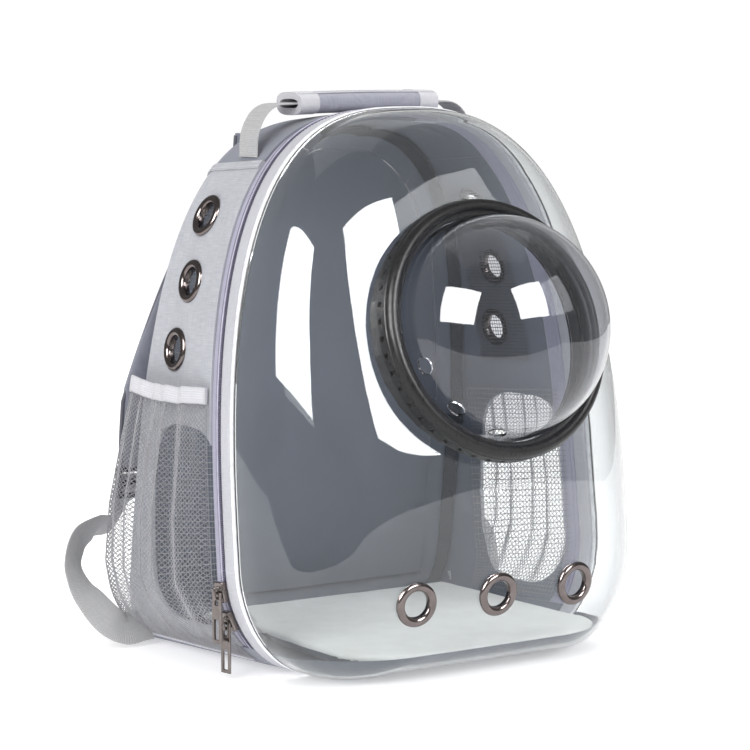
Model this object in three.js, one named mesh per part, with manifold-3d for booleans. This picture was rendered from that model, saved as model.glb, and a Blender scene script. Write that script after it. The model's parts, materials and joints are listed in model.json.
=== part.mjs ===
// Pet carrier backpack: a soft cloth body with a clear moulded front shell and a turning clear bubble.
// Millimetres, +Z up, the shell faces -Y, the straps are on +Y, and X runs across the pack.
import * as THREE from "three";
import { mergeVertices } from "three/addons/utils/BufferGeometryUtils.js";
import Module from "manifold-3d";

const wasm = await Module();
wasm.setup();

// Driving sizes of the two outlines that the body is stretched between. Each has a flat foot, round lower
// corners and a superellipse shoulder; corner is the height where the widest part starts.
const rim = { half: 165.7, foot: 99, corner: 82.8, top: 410, shoulder: 2.73, lean: 0.09 };
const back = { half: 154, foot: 130, corner: 44, top: 400, shoulder: 3.1, lean: -0.13, depth: 205 };

// Walls and clearances
const padWall = 3;
const rearRound = 22;
const seamGap = 0.3;
const netWall = 1;

// Rings behind the shell's edge, from the front: clear-edge trim, white binding, closed zipper
const trim = { depth: 6.2, proud: 1.6, wall: 4 };
const groove = 1.2;
const binding = { depth: 13, proud: 1, wall: 4 };
const zipper = { frontTape: 4, rearTape: 12, tapeWall: 1.2, sunk: 1.4, coil: 6, coilProud: 1.1 };

// Seams across the side of the body
const baseSeamHeight = 19;
const gussetSeamHeight = 371;

// Clear shell
const shell = { depth: 108, wall: 2, bulge: 2.3, apex: 143 };
// Rows of the shell from its edge to its most forward place. forward is a share of shell.depth, top,
// bottom and widest are shares of rim.top, foot is a share of the row's half width, round is the
// shoulder's exponent.
const SHELL_ROWS = [
  { forward: 0, top: 1, bottom: 0, widest: 0.202, foot: 0.597, round: 2.73 },
  { forward: 0.11, top: 0.998, bottom: 0, widest: 0.202, foot: 0.597, round: 2.73 },
  { forward: 0.28, top: 0.98, bottom: 0.003, widest: 0.205, foot: 0.59, round: 2.7 },
  { forward: 0.426, top: 0.932, bottom: 0.01, widest: 0.21, foot: 0.57, round: 2.65 },
  { forward: 0.537, top: 0.871, bottom: 0.02, widest: 0.22, foot: 0.54, round: 2.6 },
  { forward: 0.639, top: 0.795, bottom: 0.036, widest: 0.24, foot: 0.5, round: 2.5 },
  { forward: 0.722, top: 0.712, bottom: 0.067, widest: 0.27, foot: 0.45, round: 2.4 },
  { forward: 0.778, top: 0.645, bottom: 0.137, widest: 0.3, foot: 0.4, round: 2.3 },
  { forward: 0.852, top: 0.551, bottom: 0.207, widest: 0.325, foot: 0.35, round: 2.2 },
  { forward: 0.944, top: 0.444, bottom: 0.276, widest: 0.345, foot: 0.3, round: 2.1 },
];

// Bubble: a dome under a turning bezel, on a fixed collar. Radii from the bubble's own axis.
const bubble = {
  height: 250,
  hole: 84,
  collarOuter: 94,
  neckOuter: 89.2,
  standOff: 13.9,
  domeRadius: 82.5,
  domeRise: 78,
  domeWall: 2,
  flange: 88,
  flangeWall: 2.2,
  turnClear: 0.9,
  bezelOuter: 96.6,
  bezelBack: 9.3,
  notches: 24,
  notchWidth: 3,
  notchDepth: 1.1,
};
const vents = { radius: 6.5, rise: 12, angles: [-162, -135, -108] };

// Metal eyelets
const eyelet = { hole: 10, barrel: 11.7, flange: 16.5, crown: 2.4, clear: 0.3, through: 1.2, sides: 12 };
const sideEyelets = [
  { height: 331, behind: 83 },
  { height: 283, behind: 84 },
  { height: 232, behind: 97 },
];
const frontEyelets = [
  { name: "left", across: -72 },
  { name: "centre", across: 0 },
  { name: "right", across: 72 },
];
const frontEyeletHeight = 61;

// Net window behind each side pocket
const netWindow = { front: 30, width: 106, bottom: 30, top: 178, margin: 9 };

// Side pocket of gathered net under an elastic binding
const pocket = { bottom: 8, top: 196, sag: 6, bulge: 24, mouth: 12, wall: 1.2, edge: 2.6, round: 0.8 };
const pocketEase = { front: 3.2, rear: 6 };
const elastic = { height: 12, wall: 2, proud: 0.4 };
// Gathers of the pocket: at is a share of its width, deep a share of its bulge, wide a share of its width
const POCKET_FOLDS = [
  { at: 0.1, deep: 0.1, wide: 0.05 },
  { at: 0.24, deep: 0.26, wide: 0.06 },
  { at: 0.4, deep: 0.12, wide: 0.05 },
  { at: 0.55, deep: 0.2, wide: 0.06 },
  { at: 0.7, deep: 0.12, wide: 0.05 },
  { at: 0.84, deep: 0.16, wide: 0.05 },
];

// Floor mat
const mat = { top: 21, half: 118, shift: 14, front: -68, cornerRound: 52, lift: 0.4, slope: 22, edge: 4 };

// Carry handle on top
const handle = { width: 25, wall: 1.6, behind: 62, gripHalf: 66, gripWidth: 33, gripWall: 7.5 };

// Shoulder straps at the back
const strap = { width: 62, wall: 11, tip: 30 };
// Path of a padded strap: across and height in mm of the right strap, off is its distance from the back
const STRAP_PATH = [
  { across: 40, height: 388, off: 6 },
  { across: 41, height: 372, off: 6.4 },
  { across: 45, height: 350, off: 22 },
  { across: 52, height: 318, off: 46 },
  { across: 64, height: 272, off: 60 },
  { across: 79, height: 224, off: 64 },
  { across: 95, height: 180, off: 60 },
  { across: 109, height: 146, off: 52 },
  { across: 118, height: 124, off: 44 },
];
const lowerWeb = { width: 25, wall: 1.6 };
// Path of the lower webbing, right side: centre in mm, then the direction of its width
const WEB_PATH = [
  { x: 145, y: 172, z: 14.5, wx: 0.1, wy: -0.6, wz: -0.78 },
  { x: 154, y: 171, z: 14.5, wx: 0.1, wy: -0.55, wz: -0.82 },
  { x: 166, y: 170, z: 14, wx: 0.2, wy: -0.4, wz: -0.87 },
  { x: 179, y: 173, z: 21.5, wx: 0.6, wy: -0.15, wz: -0.75 },
  { x: 188, y: 184, z: 35.9, wx: 0.84, wy: -0.25, wz: -0.47 },
  { x: 191, y: 196, z: 47.5, wx: 0.82, wy: -0.53, wz: -0.20 },
  { x: 190, y: 206, z: 57.6, wx: 0.80, wy: -0.60, wz: -0.05 },
  { x: 185, y: 215, z: 67.5, wx: 0.77, wy: -0.62, wz: 0.11 },
  { x: 173, y: 226, z: 76.5, wx: 0.77, wy: -0.56, wz: 0.32 },
  { x: 154, y: 236, z: 82.0, wx: 0.67, wy: -0.63, wz: 0.39 },
  { x: 136, y: 244, z: 83.2, wx: 0.58, wy: -0.73, wz: 0.36 },
  { x: 127, y: 246, z: 96, wx: 0.8, wy: -0.55, wz: 0.1 },
  { x: 122, y: 241, z: 110, wx: 0.97, wy: -0.2, wz: 0 },
  { x: 121, y: 236, z: 122, wx: 1, wy: 0, wz: 0 },
];

// Zipper hardware
const slider = { width: 10, length: 15, body: 4.2, arch: 5, archWall: 1.7, archWidth: 2.4, heights: [64, 43] };
const pull = { length: 37.5, width: 10.5, wall: 1.6, bar: 1.6, eye: 8, eyeWidth: 4.6, turn: 0.1 };
const pullWindow = { length: 15, width: 5.5 };

const FOOT_SHARE = 0.14;
const CORNER_SHARE = 0.31;
const FOOT_STEPS = 2;
const CORNER_STEPS = 5;
const SHOULDER_STEPS = 10;

const lerp = (a, b, t) => a + (b - a) * t;
const clamp01 = (t) => Math.min(1, Math.max(0, t));

// Point of an outline seen from the front. u runs from 0 at the middle of the foot up the right side to
// 1 at the top and down the left side to 2; out grows the outline, and its foot never sinks.
function outlineAt(section, u, out = 0) {
  const turn = ((u % 2) + 2) % 2;
  const side = turn > 1 ? -1 : 1;
  const t = turn > 1 ? 2 - turn : turn;
  const half = section.half + out;
  const top = section.top + out;
  const bottom = (section.bottom ?? 0) + Math.max(0, -out);
  if (t < FOOT_SHARE) return { x: (side * section.foot * t) / FOOT_SHARE, z: bottom };
  if (t < CORNER_SHARE) {
    const a = ((t - FOOT_SHARE) / (CORNER_SHARE - FOOT_SHARE)) * (Math.PI / 2);
    const x = section.foot + (half - section.foot) * Math.sin(a);
    return { x: side * x, z: section.corner - (section.corner - bottom) * Math.cos(a) };
  }
  const a = ((t - CORNER_SHARE) / (1 - CORNER_SHARE)) * (Math.PI / 2);
  const power = 2 / section.shoulder;
  const x = t === 1 ? 0 : half * Math.cos(a) ** power;
  return { x: side * x, z: section.corner + (top - section.corner) * Math.sin(a) ** power };
}

const rimY = (z) => z * Math.tan(rim.lean);
const backY = (z) => back.depth + z * Math.tan(back.lean);

function bodyDepth(u) {
  return backY(outlineAt(back, u).z) - rimY(outlineAt(rim, u).z);
}

// Point of the body's outer surface, `along` mm behind the rim, round the rear corner where it gets there
function bodyPoint(u, along, out = 0) {
  const depth = bodyDepth(u);
  let behind = along;
  let grown = out;
  if (along > depth - rearRound) {
    const a = Math.min(Math.PI / 2, (along - depth + rearRound) / rearRound);
    behind = depth - rearRound + (rearRound + out) * Math.sin(a);
    grown = (rearRound + out) * Math.cos(a) - rearRound;
  }
  const front = outlineAt(rim, u, grown);
  const rear = outlineAt(back, u, grown);
  const share = behind / depth;
  const start = rimY(outlineAt(rim, u).z);
  return new THREE.Vector3(lerp(front.x, rear.x, share), start + behind, lerp(front.z, rear.z, share));
}

// u on the right side where the body reaches a height
function bodyU(height, along) {
  let low = FOOT_SHARE;
  let high = 1;
  for (let i = 0; i < 40; i++) {
    const middle = (low + high) / 2;
    if (bodyPoint(middle, along).z < height) low = middle;
    else high = middle;
  }
  return low;
}

// Stations round half an outline, shared by every piece that follows it
const HALF_STATIONS = [
  ...Array.from({ length: FOOT_STEPS }, (_, i) => (FOOT_SHARE * i) / FOOT_STEPS),
  ...Array.from({ length: CORNER_STEPS }, (_, i) => lerp(FOOT_SHARE, CORNER_SHARE, i / CORNER_STEPS)),
  ...Array.from({ length: SHOULDER_STEPS + 1 }, (_, i) => lerp(CORNER_SHARE, 1, i / SHOULDER_STEPS)),
];
const ALL_STATIONS = [
  ...HALF_STATIONS,
  ...HALF_STATIONS.slice(1, -1)
    .map((u) => 2 - u)
    .reverse(),
];

// Stations from one seam to another; the range may start below 0
function stations(from, to) {
  const tiny = 0.004;
  const every = [...ALL_STATIONS.map((u) => u - 2), ...ALL_STATIONS];
  return [from, ...every.filter((u) => u > from + tiny && u < to - tiny), to];
}

// Shared station nearest to a place on the right side
function nearStation(u) {
  return HALF_STATIONS.reduce((best, station) => (Math.abs(station - u) < Math.abs(best - u) ? station : best));
}

// Closed body between an outer and an inner grid of points. A round grid joins its last column to its
// first; capped closes the last row with a fan instead of an edge.
function wallBetween(outer, inner, { round = false, capped = null } = {}) {
  const rows = outer.length;
  const cols = outer[0].length;
  const points = [...outer.flat(), ...inner.flat()];
  const faces = [];
  const at = (layer, i, j) => (layer * rows + i) * cols + (j % cols);
  const quad = (a, b, c, d) => faces.push(a, b, c, a, c, d);
  const spans = round ? cols : cols - 1;
  for (let j = 0; j < spans; j++) {
    for (let i = 0; i < rows - 1; i++) {
      quad(at(0, i, j), at(0, i, j + 1), at(0, i + 1, j + 1), at(0, i + 1, j));
      quad(at(1, i, j), at(1, i + 1, j), at(1, i + 1, j + 1), at(1, i, j + 1));
    }
    quad(at(0, 0, j), at(1, 0, j), at(1, 0, j + 1), at(0, 0, j + 1));
    const last = rows - 1;
    if (!capped) quad(at(0, last, j), at(0, last, j + 1), at(1, last, j + 1), at(1, last, j));
  }
  if (!round) {
    for (let i = 0; i < rows - 1; i++) {
      quad(at(0, i, 0), at(0, i + 1, 0), at(1, i + 1, 0), at(1, i, 0));
      quad(at(0, i, cols - 1), at(1, i, cols - 1), at(1, i + 1, cols - 1), at(0, i + 1, cols - 1));
    }
  }
  if (capped) {
    points.push(capped.outer, capped.inner);
    const tip = points.length - 2;
    for (let j = 0; j < spans; j++) {
      faces.push(at(0, rows - 1, j), at(0, rows - 1, j + 1), tip);
      faces.push(at(1, rows - 1, j + 1), at(1, rows - 1, j), tip + 1);
    }
  }
  return facingOut(points, faces);
}

// Geometry from points and faces, turned round where its volume comes out negative
function facingOut(points, faces) {
  let volume = 0;
  for (let i = 0; i < faces.length; i += 3) {
    const [a, b, c] = [points[faces[i]], points[faces[i + 1]], points[faces[i + 2]]];
    volume += a.dot(new THREE.Vector3().crossVectors(b, c));
  }
  if (volume < 0) faces.reverse();
  const geometry = new THREE.BufferGeometry().setFromPoints(points);
  return geometry.setIndex(faces);
}

// Grid moved by a distance along its own surface normal, away from or towards the body's middle
const BODY_MIDDLE = new THREE.Vector3(0, back.depth / 2, rim.top / 2);
function moved(grid, distance, round = false) {
  const rows = grid.length;
  const cols = grid[0].length;
  return grid.map((row, i) =>
    row.map((point, j) => {
      const before = round ? (j + cols - 1) % cols : Math.max(0, j - 1);
      const after = round ? (j + 1) % cols : Math.min(cols - 1, j + 1);
      const across = row[after].clone().sub(row[before]);
      const down = grid[Math.min(rows - 1, i + 1)][j].clone().sub(grid[Math.max(0, i - 1)][j]);
      const normal = across.cross(down).normalize();
      if (normal.dot(point.clone().sub(BODY_MIDDLE)) < 0) normal.negate();
      return point.clone().addScaledVector(normal, distance);
    }),
  );
}

// Band of the body between two stations and two distances behind the rim
function bodyBand({ from, to, front, rear, proud, wall, rows = 2, round = false }) {
  const columns = round ? ALL_STATIONS : stations(from, to);
  const grid = (out) =>
    Array.from({ length: rows }, (_, i) =>
      columns.map((u) => {
        const end = typeof rear === "function" ? rear(u) : rear;
        return bodyPoint(u, lerp(front, end, i / (rows - 1)), out);
      }),
    );
  return wallBetween(grid(proud), grid(proud - wall), { round });
}

// Panel of the body that runs straight back and then round the rear corner
const CORNER_ROWS = 4;
function bodyPanel(from, to, front, out = 0, wall = padWall) {
  const columns = stations(from, to);
  const grid = (grown) => {
    const rows = [columns.map((u) => bodyPoint(u, front, grown))];
    for (let i = 0; i < CORNER_ROWS; i++) {
      const turned = (rearRound * (Math.PI / 2) * i) / (CORNER_ROWS - 1);
      rows.push(columns.map((u) => bodyPoint(u, bodyDepth(u) - rearRound + turned + 1e-6, grown)));
    }
    return rows;
  };
  return wallBetween(grid(out), grid(out - wall));
}

// Closed body through a stack of closed rows, with a fan over each end
function stacked(rows) {
  const cols = rows[0].length;
  const points = rows.flat();
  const faces = [];
  for (let i = 0; i < rows.length - 1; i++) {
    for (let j = 0; j < cols; j++) {
      const k = (j + 1) % cols;
      faces.push(i * cols + j, i * cols + k, (i + 1) * cols + k);
      faces.push(i * cols + j, (i + 1) * cols + k, (i + 1) * cols + j);
    }
  }
  const middle = (row) => row.reduce((sum, p) => sum.add(p), new THREE.Vector3()).divideScalar(cols);
  points.push(middle(rows[0]), middle(rows.at(-1)));
  const last = (rows.length - 1) * cols;
  for (let j = 0; j < cols; j++) {
    const k = (j + 1) % cols;
    faces.push(k, j, points.length - 2);
    faces.push(last + j, last + k, points.length - 1);
  }
  return facingOut(points, faces);
}

// Booleans on closed geometries
function solid(geometry) {
  const bare = geometry.clone();
  bare.deleteAttribute("normal");
  bare.deleteAttribute("uv");
  const merged = mergeVertices(bare, 1e-3);
  const triVerts = new Uint32Array(merged.index.array);
  const vertProperties = new Float32Array(merged.attributes.position.array);
  return new wasm.Manifold(new wasm.Mesh({ numProp: 3, vertProperties, triVerts }));
}

function geometryOf(manifold) {
  const { vertProperties, triVerts, numProp, numVert } = manifold.getMesh();
  const positions = new Float32Array(numVert * 3);
  for (let i = 0; i < numVert; i++) positions.set(vertProperties.subarray(i * numProp, i * numProp + 3), i * 3);
  const geometry = new THREE.BufferGeometry();
  geometry.setAttribute("position", new THREE.BufferAttribute(positions, 3));
  return geometry.setIndex(new THREE.BufferAttribute(new Uint32Array(triVerts), 1));
}

function cut(geometry, ...tools) {
  return geometryOf(tools.reduce((body, tool) => body.subtract(solid(tool)), solid(geometry)));
}

function join(geometry, ...others) {
  return geometryOf(others.reduce((body, other) => body.add(solid(other)), solid(geometry)));
}

// Largest body of what a cut leaves
function largest(geometry) {
  const bodies = solid(geometry).decompose();
  return geometryOf(bodies.reduce((most, body) => (body.volume() > most.volume() ? body : most)));
}

function mirrored(geometry) {
  const copy = (geometry.index ? geometry : mergeVertices(geometry)).clone();
  copy.scale(-1, 1, 1);
  copy.setIndex([...copy.index.array].reverse());
  return copy;
}

// Lathe about local +Z: a closed profile of [radius, height] pairs
function turned(profile, sides) {
  const points = profile.map(([radius, height]) => new THREE.Vector2(radius, height));
  const onAxis = points[0].x === 0 && points.at(-1).x === 0;
  if (!onAxis) points.push(points[0].clone());
  const geometry = new THREE.LatheGeometry(points, sides).rotateX(Math.PI / 2);
  const bare = mergeVertices(geometry.deleteAttribute("normal").deleteAttribute("uv"), 1e-4);
  const corners = [...bare.index.array];
  const list = [];
  for (let i = 0; i < bare.attributes.position.count; i++)
    list.push(new THREE.Vector3().fromBufferAttribute(bare.attributes.position, i));
  const kept = [];
  for (let i = 0; i < corners.length; i += 3) {
    const [a, b, c] = corners.slice(i, i + 3);
    if (a !== b && b !== c && c !== a) kept.push(a, b, c);
  }
  return facingOut(list, kept);
}

// Geometry turned so that its +Z is the given direction, then moved to a place
function placed(geometry, place, direction) {
  const turn = new THREE.Quaternion().setFromUnitVectors(new THREE.Vector3(0, 0, 1), direction);
  return geometry.clone().applyQuaternion(turn).translate(place.x, place.y, place.z);
}

// Seat of a round flange on a surface: the middle of the place, the normal through points round it, and
// how far the surface stands above that flat, found by rays along a direction
function seatOn(surface, origin, direction, reach) {
  const mesh = new THREE.Mesh(surface, new THREE.MeshBasicMaterial({ side: THREE.DoubleSide }));
  mesh.updateMatrixWorld();
  const hit = (from) => new THREE.Raycaster(from, direction).intersectObject(mesh)[0].point;
  const one = new THREE.Vector3(0, 0, 1);
  const two = new THREE.Vector3().crossVectors(direction, one);
  const around = Array.from({ length: 8 }, (_, i) => {
    const a = (i / 8) * Math.PI * 2;
    return hit(
      origin
        .clone()
        .addScaledVector(one, Math.cos(a) * reach)
        .addScaledVector(two, Math.sin(a) * reach),
    );
  });
  const point = hit(origin);
  const normal = around[0].clone().sub(around[4]).cross(around[2].clone().sub(around[6])).normalize();
  if (normal.dot(direction) > 0) normal.negate();
  const lift = Math.max(0, ...around.map((p) => p.sub(point).dot(normal)));
  return { point: point.addScaledVector(normal, lift), normal };
}

const group = new THREE.Group();
function add(name, geometry, colour, roughness, metalness = 0, parent = group) {
  const material = new THREE.MeshStandardMaterial({ color: colour, roughness, metalness });
  const mesh = new THREE.Mesh(geometry, material);
  mesh.name = name;
  parent.add(mesh);
  return mesh;
}

// Finishes
const SLATE = 0x7d818d;
const LIGHT_GREY = 0xb4b7be;
const WHITE = 0xe6e6ea;
const LAVENDER = 0xaaa8be;
const NET_GREY = 0x9b9ca2;
const BLACK = 0x2b2b2d;
const GUNMETAL = 0x5c5450;
const CLEAR = 0xdfe6ea;
const SIDES = [
  { side: "left", sign: -1 },
  { side: "right", sign: 1 },
];

// Distances behind the rim of the rings between the shell and the body
const trimFront = seamGap;
const trimRear = trimFront + trim.depth;
const bindingFront = trimRear + groove;
const bindingRear = bindingFront + binding.depth;
const tapeFront = bindingRear + seamGap;
const tapeMeet = tapeFront + zipper.frontTape;
const tapeRear = tapeMeet + zipper.rearTape;
const panelFront = tapeRear + seamGap;

// Seams as stations: the base seam, the gusset seam, and where the zipper starts
const baseU = bodyU(baseSeamHeight, panelFront);
const gussetU = bodyU(gussetSeamHeight, bodyDepth(0.8) / 2);
const seamU = seamGap / 700;

// Cloth body
const basePanel = bodyPanel(-baseU, baseU, tapeFront);
add("base_panel", basePanel, SLATE, 0.9);
add("top_gusset", bodyPanel(gussetU + seamU, 2 - gussetU - seamU, panelFront), SLATE, 0.9);

const sideBlank = bodyPanel(baseU + 2 * seamU, gussetU - seamU, panelFront);
const windowOutline = new THREE.Shape();
const windowHeight = netWindow.top - netWindow.bottom;
const windowCentre = (netWindow.top + netWindow.bottom) / 2;
const WINDOW_CORNERS = 16;
for (let i = 0; i < WINDOW_CORNERS; i++) {
  const a = (i / WINDOW_CORNERS) * Math.PI * 2;
  const squareness = 0.5;
  const y = (Math.sign(Math.cos(a)) * Math.abs(Math.cos(a)) ** squareness * netWindow.width) / 2;
  const z = (Math.sign(Math.sin(a)) * Math.abs(Math.sin(a)) ** squareness * windowHeight) / 2;
  if (i === 0) windowOutline.moveTo(y, z);
  else windowOutline.lineTo(y, z);
}
const windowMiddle = rimY(windowCentre) + netWindow.front + netWindow.width / 2;
const windowCutter = new THREE.ExtrudeGeometry(windowOutline, { depth: rim.half, bevelEnabled: false, steps: 1 })
  .rotateY(Math.PI / 2)
  .rotateX(Math.PI / 2)
  .translate(back.half / 2, windowMiddle, windowCentre);

const holeRadius = eyelet.barrel + eyelet.clear;
const holeTool = turned([[0, -20], [holeRadius, -20], [holeRadius, 20], [0, 20]], eyelet.sides);
const eyeletThrough = (wall) =>
  turned(
    [
      [eyelet.hole, -wall - eyelet.through],
      [eyelet.barrel, -wall - eyelet.through],
      [eyelet.barrel, eyelet.clear],
      [eyelet.flange, eyelet.clear],
      [(eyelet.flange + eyelet.hole) / 2, eyelet.crown + eyelet.clear],
      [eyelet.hole, eyelet.crown * 0.55],
    ],
    eyelet.sides,
  );
const sideSeats = sideEyelets.map(({ height, behind }) => {
  const origin = new THREE.Vector3(2 * rim.half, rimY(height) + behind, height);
  return seatOn(sideBlank, origin, new THREE.Vector3(-1, 0, 0), eyelet.flange);
});
const sideHoles = sideSeats.map(({ point, normal }) => placed(holeTool, point, normal));
const sidePanel = cut(sideBlank, windowCutter, ...sideHoles);
const eyeletOnSide = sideSeats.map(({ point, normal }) => placed(eyeletThrough(padWall), point, normal));

const netOut = -padWall - seamGap;
const netFrontU = nearStation(bodyU(netWindow.bottom - netWindow.margin, panelFront));
const netTopU = nearStation(bodyU(netWindow.top + netWindow.margin, panelFront));
const windowNet = bodyBand({
  from: netFrontU,
  to: netTopU,
  front: netWindow.front - netWindow.margin + 8,
  rear: netWindow.front + netWindow.width + netWindow.margin,
  proud: netOut,
  wall: netWall,
});
const stripLow = nearStation(bodyU(sideEyelets.at(-1).height - eyelet.flange - 6, panelFront));
const stripHigh = nearStation(bodyU(sideEyelets[0].height + eyelet.flange + 6, panelFront));
const stripMiddle = sideEyelets.reduce((sum, row) => sum + row.behind, 0) / sideEyelets.length;
const eyeletNet = bodyBand({
  from: stripLow,
  to: stripHigh,
  front: stripMiddle - 30,
  rear: stripMiddle + 30,
  proud: -padWall - eyelet.through - 2 * seamGap,
  wall: netWall,
});

// Gathered pocket: across from 0 at the zipper to 1 on the rear corner, up from 0 at the base to 1
const POCKET_COLUMNS = 18;
const POCKET_ROWS = 7;
const POCKET_CROWDING = 1.5;
const pocketFront = panelFront + 1.5;
const pocketRear = (u) => bodyDepth(u) + rearRound * 0.2;
function pocketTop(across) {
  return pocket.top - pocket.sag * (1 - (2 * across - 1) ** 2);
}
function pocketBulge(across, up) {
  const ease = across > 0.5 ? pocketEase.rear : pocketEase.front;
  const sides = (1 - Math.min(1, Math.abs(2 * across - 1)) ** ease) ** 0.8;
  const belly = lerp(pocket.mouth / pocket.bulge, 1, clamp01((1 - up) * 2.2)) * clamp01(up * 3.2) ** pocket.round;
  const folds = POCKET_FOLDS.reduce(
    (sum, fold) => sum + fold.deep * Math.exp(-(((across - fold.at - 0.03 * (up - 0.5)) / fold.wide) ** 2)),
    0,
  );
  const gathered = folds * clamp01(up * 4) * lerp(0.55, 1, clamp01((1 - up) * 3));
  return pocket.bulge * Math.max(0, sides * belly - gathered * sides);
}
function pocketPoint(across, height, up, out) {
  let u = 0.5;
  let along = 0;
  for (let i = 0; i < 3; i++) {
    along = lerp(pocketFront, pocketRear(u), across);
    u = bodyU(height, Math.min(along, bodyDepth(u) - rearRound));
  }
  return bodyPoint(u, along, pocketBulge(across, up) + out);
}
const pocketGrid = (out, beyond = 0) =>
  Array.from({ length: POCKET_ROWS + 1 }, (_, i) =>
    Array.from({ length: POCKET_COLUMNS + 1 }, (_, j) => {
      const across = lerp(-beyond, 1 + beyond, j / POCKET_COLUMNS);
      const up = (i / POCKET_ROWS) ** POCKET_CROWDING;
      const foot = pocket.bottom * (1 - 20 * beyond);
      return pocketPoint(across, lerp(foot, pocketTop(across), up), up, out);
    }),
  );
const pocketBody = wallBetween(pocketGrid(pocket.edge), pocketGrid(pocket.edge - pocket.wall));
const elasticGrid = (out) =>
  [0, 1].map((up) =>
    Array.from({ length: POCKET_COLUMNS + 1 }, (_, j) => {
      const across = j / POCKET_COLUMNS;
      return pocketPoint(across, pocketTop(across) + seamGap + up * elastic.height, 1, out);
    }),
  );
const elasticOut = pocket.edge + elastic.proud;
const elasticBody = wallBetween(elasticGrid(elasticOut + 0.4), elasticGrid(elasticOut + 0.4 - elastic.wall + 0.4));

for (const { side, sign } of SIDES) {
  const own = (geometry) => (sign > 0 ? geometry : mirrored(geometry));
  add(`side_panel_${side}`, own(sidePanel), LIGHT_GREY, 0.9);
  add(`window_net_${side}`, own(windowNet), NET_GREY, 0.9);
  add(`eyelet_net_${side}`, own(eyeletNet), NET_GREY, 0.9);
  eyeletOnSide.forEach((geometry, i) => add(`side_eyelet_${side}_${i + 1}`, own(geometry), GUNMETAL, 0.3, 1));
  add(`side_pocket_${side}`, own(pocketBody), NET_GREY, 0.9);
  add(`pocket_binding_${side}`, own(elasticBody), WHITE, 0.85);
}

// Back panel inside the rear corner
const panelShape = new THREE.Shape(
  ALL_STATIONS.map((u) => {
    const inset = -rearRound - 2 * seamGap;
    const { x, z } = outlineAt(back, u, inset);
    return new THREE.Vector2(x, z);
  }),
);
const backPanel = new THREE.ExtrudeGeometry(panelShape, { depth: padWall + 1, bevelEnabled: false, steps: 1 });
const leaning = backPanel.attributes.position;
for (let i = 0; i < leaning.count; i++) {
  const height = leaning.getY(i);
  leaning.setXYZ(i, leaning.getX(i), backY(height) - leaning.getZ(i), height);
}
add("back_panel", backPanel, SLATE, 0.9);

// Rings behind the shell's edge
add(
  "edge_trim",
  bodyBand({ front: trimFront, rear: trimRear, proud: trim.proud, wall: trim.wall, round: true }),
  0xd7dbe2,
  0.25,
);
add(
  "front_binding",
  bodyBand({ front: bindingFront, rear: bindingRear, proud: binding.proud, wall: binding.wall, round: true }),
  WHITE,
  0.85,
);
const zipRange = { from: baseU + 2 * seamU, to: 2 - baseU - 2 * seamU };
const tape = { ...zipRange, proud: -zipper.sunk, wall: zipper.tapeWall };
add("zipper_tape_front", bodyBand({ ...tape, front: tapeFront, rear: tapeMeet - seamGap }), LAVENDER, 0.9);
add("zipper_tape_rear", bodyBand({ ...tape, front: tapeMeet, rear: tapeRear }), LAVENDER, 0.9);
const coilFront = tapeMeet - zipper.coil / 2;
const coilColumns = stations(zipRange.from, zipRange.to);
const coilFoot = seamGap - zipper.sunk;
const coilGrid = (outs) =>
  outs.map((out, i) => {
    const along = coilFront + (zipper.coil * i) / (outs.length - 1);
    return coilColumns.map((u) => bodyPoint(u, along, out));
  });
const coilTop = coilGrid([coilFoot + 0.8, zipper.coilProud, coilFoot + 0.8]);
add("zipper_coil", wallBetween(coilTop, coilGrid([coilFoot, coilFoot, coilFoot])), LAVENDER, 0.7);

// Clear shell: rows of the table, moved inwards by its wall
function shellSection(row) {
  return {
    half: rim.half * (1 - row.forward ** shell.bulge) ** (1 / shell.bulge),
    foot: row.foot * rim.half * (1 - row.forward ** shell.bulge) ** (1 / shell.bulge),
    corner: row.widest * rim.top,
    top: row.top * rim.top,
    bottom: row.bottom * rim.top,
    shoulder: row.round,
  };
}
const shellGrid = SHELL_ROWS.map((row) =>
  ALL_STATIONS.map((u) => {
    const { x, z } = outlineAt(shellSection(row), u);
    return new THREE.Vector3(x, rimY(z) - shell.depth * row.forward, z);
  }),
);
const shellTip = new THREE.Vector3(0, rimY(shell.apex) - shell.depth, shell.apex);
const forwardBy = (distance) => shellTip.clone().add(new THREE.Vector3(0, -distance, 0));
function shellSkin(outer, inner) {
  const capped = { outer: forwardBy(outer), inner: forwardBy(inner) };
  const layer = (distance) => (distance === 0 ? shellGrid : moved(shellGrid, distance, true));
  return wallBetween(layer(outer), layer(inner), { round: true, capped });
}
const shellBlank = shellSkin(0, -shell.wall);

// Place and tilt of the bubble: square to the shell's middle line where it sits
function shellMiddle(height) {
  const share = height / rim.top;
  const i = SHELL_ROWS.findIndex((row) => row.top <= share);
  const [above, below] = [SHELL_ROWS[i - 1], SHELL_ROWS[i]];
  const t = (above.top - share) / (above.top - below.top);
  return new THREE.Vector3(0, rimY(height) - shell.depth * lerp(above.forward, below.forward, t), height);
}
const seatSpan = 0.75 * bubble.hole;
const seatLine = shellMiddle(bubble.height + seatSpan).sub(shellMiddle(bubble.height - seatSpan));
const bubbleTilt = Math.atan2(seatLine.y, seatLine.z);
const bubbleAxis = new THREE.Vector3(0, -Math.cos(bubbleTilt), Math.sin(bubbleTilt));
const bubbleCentre = shellMiddle(bubble.height).addScaledVector(bubbleAxis, bubble.standOff);

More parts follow.
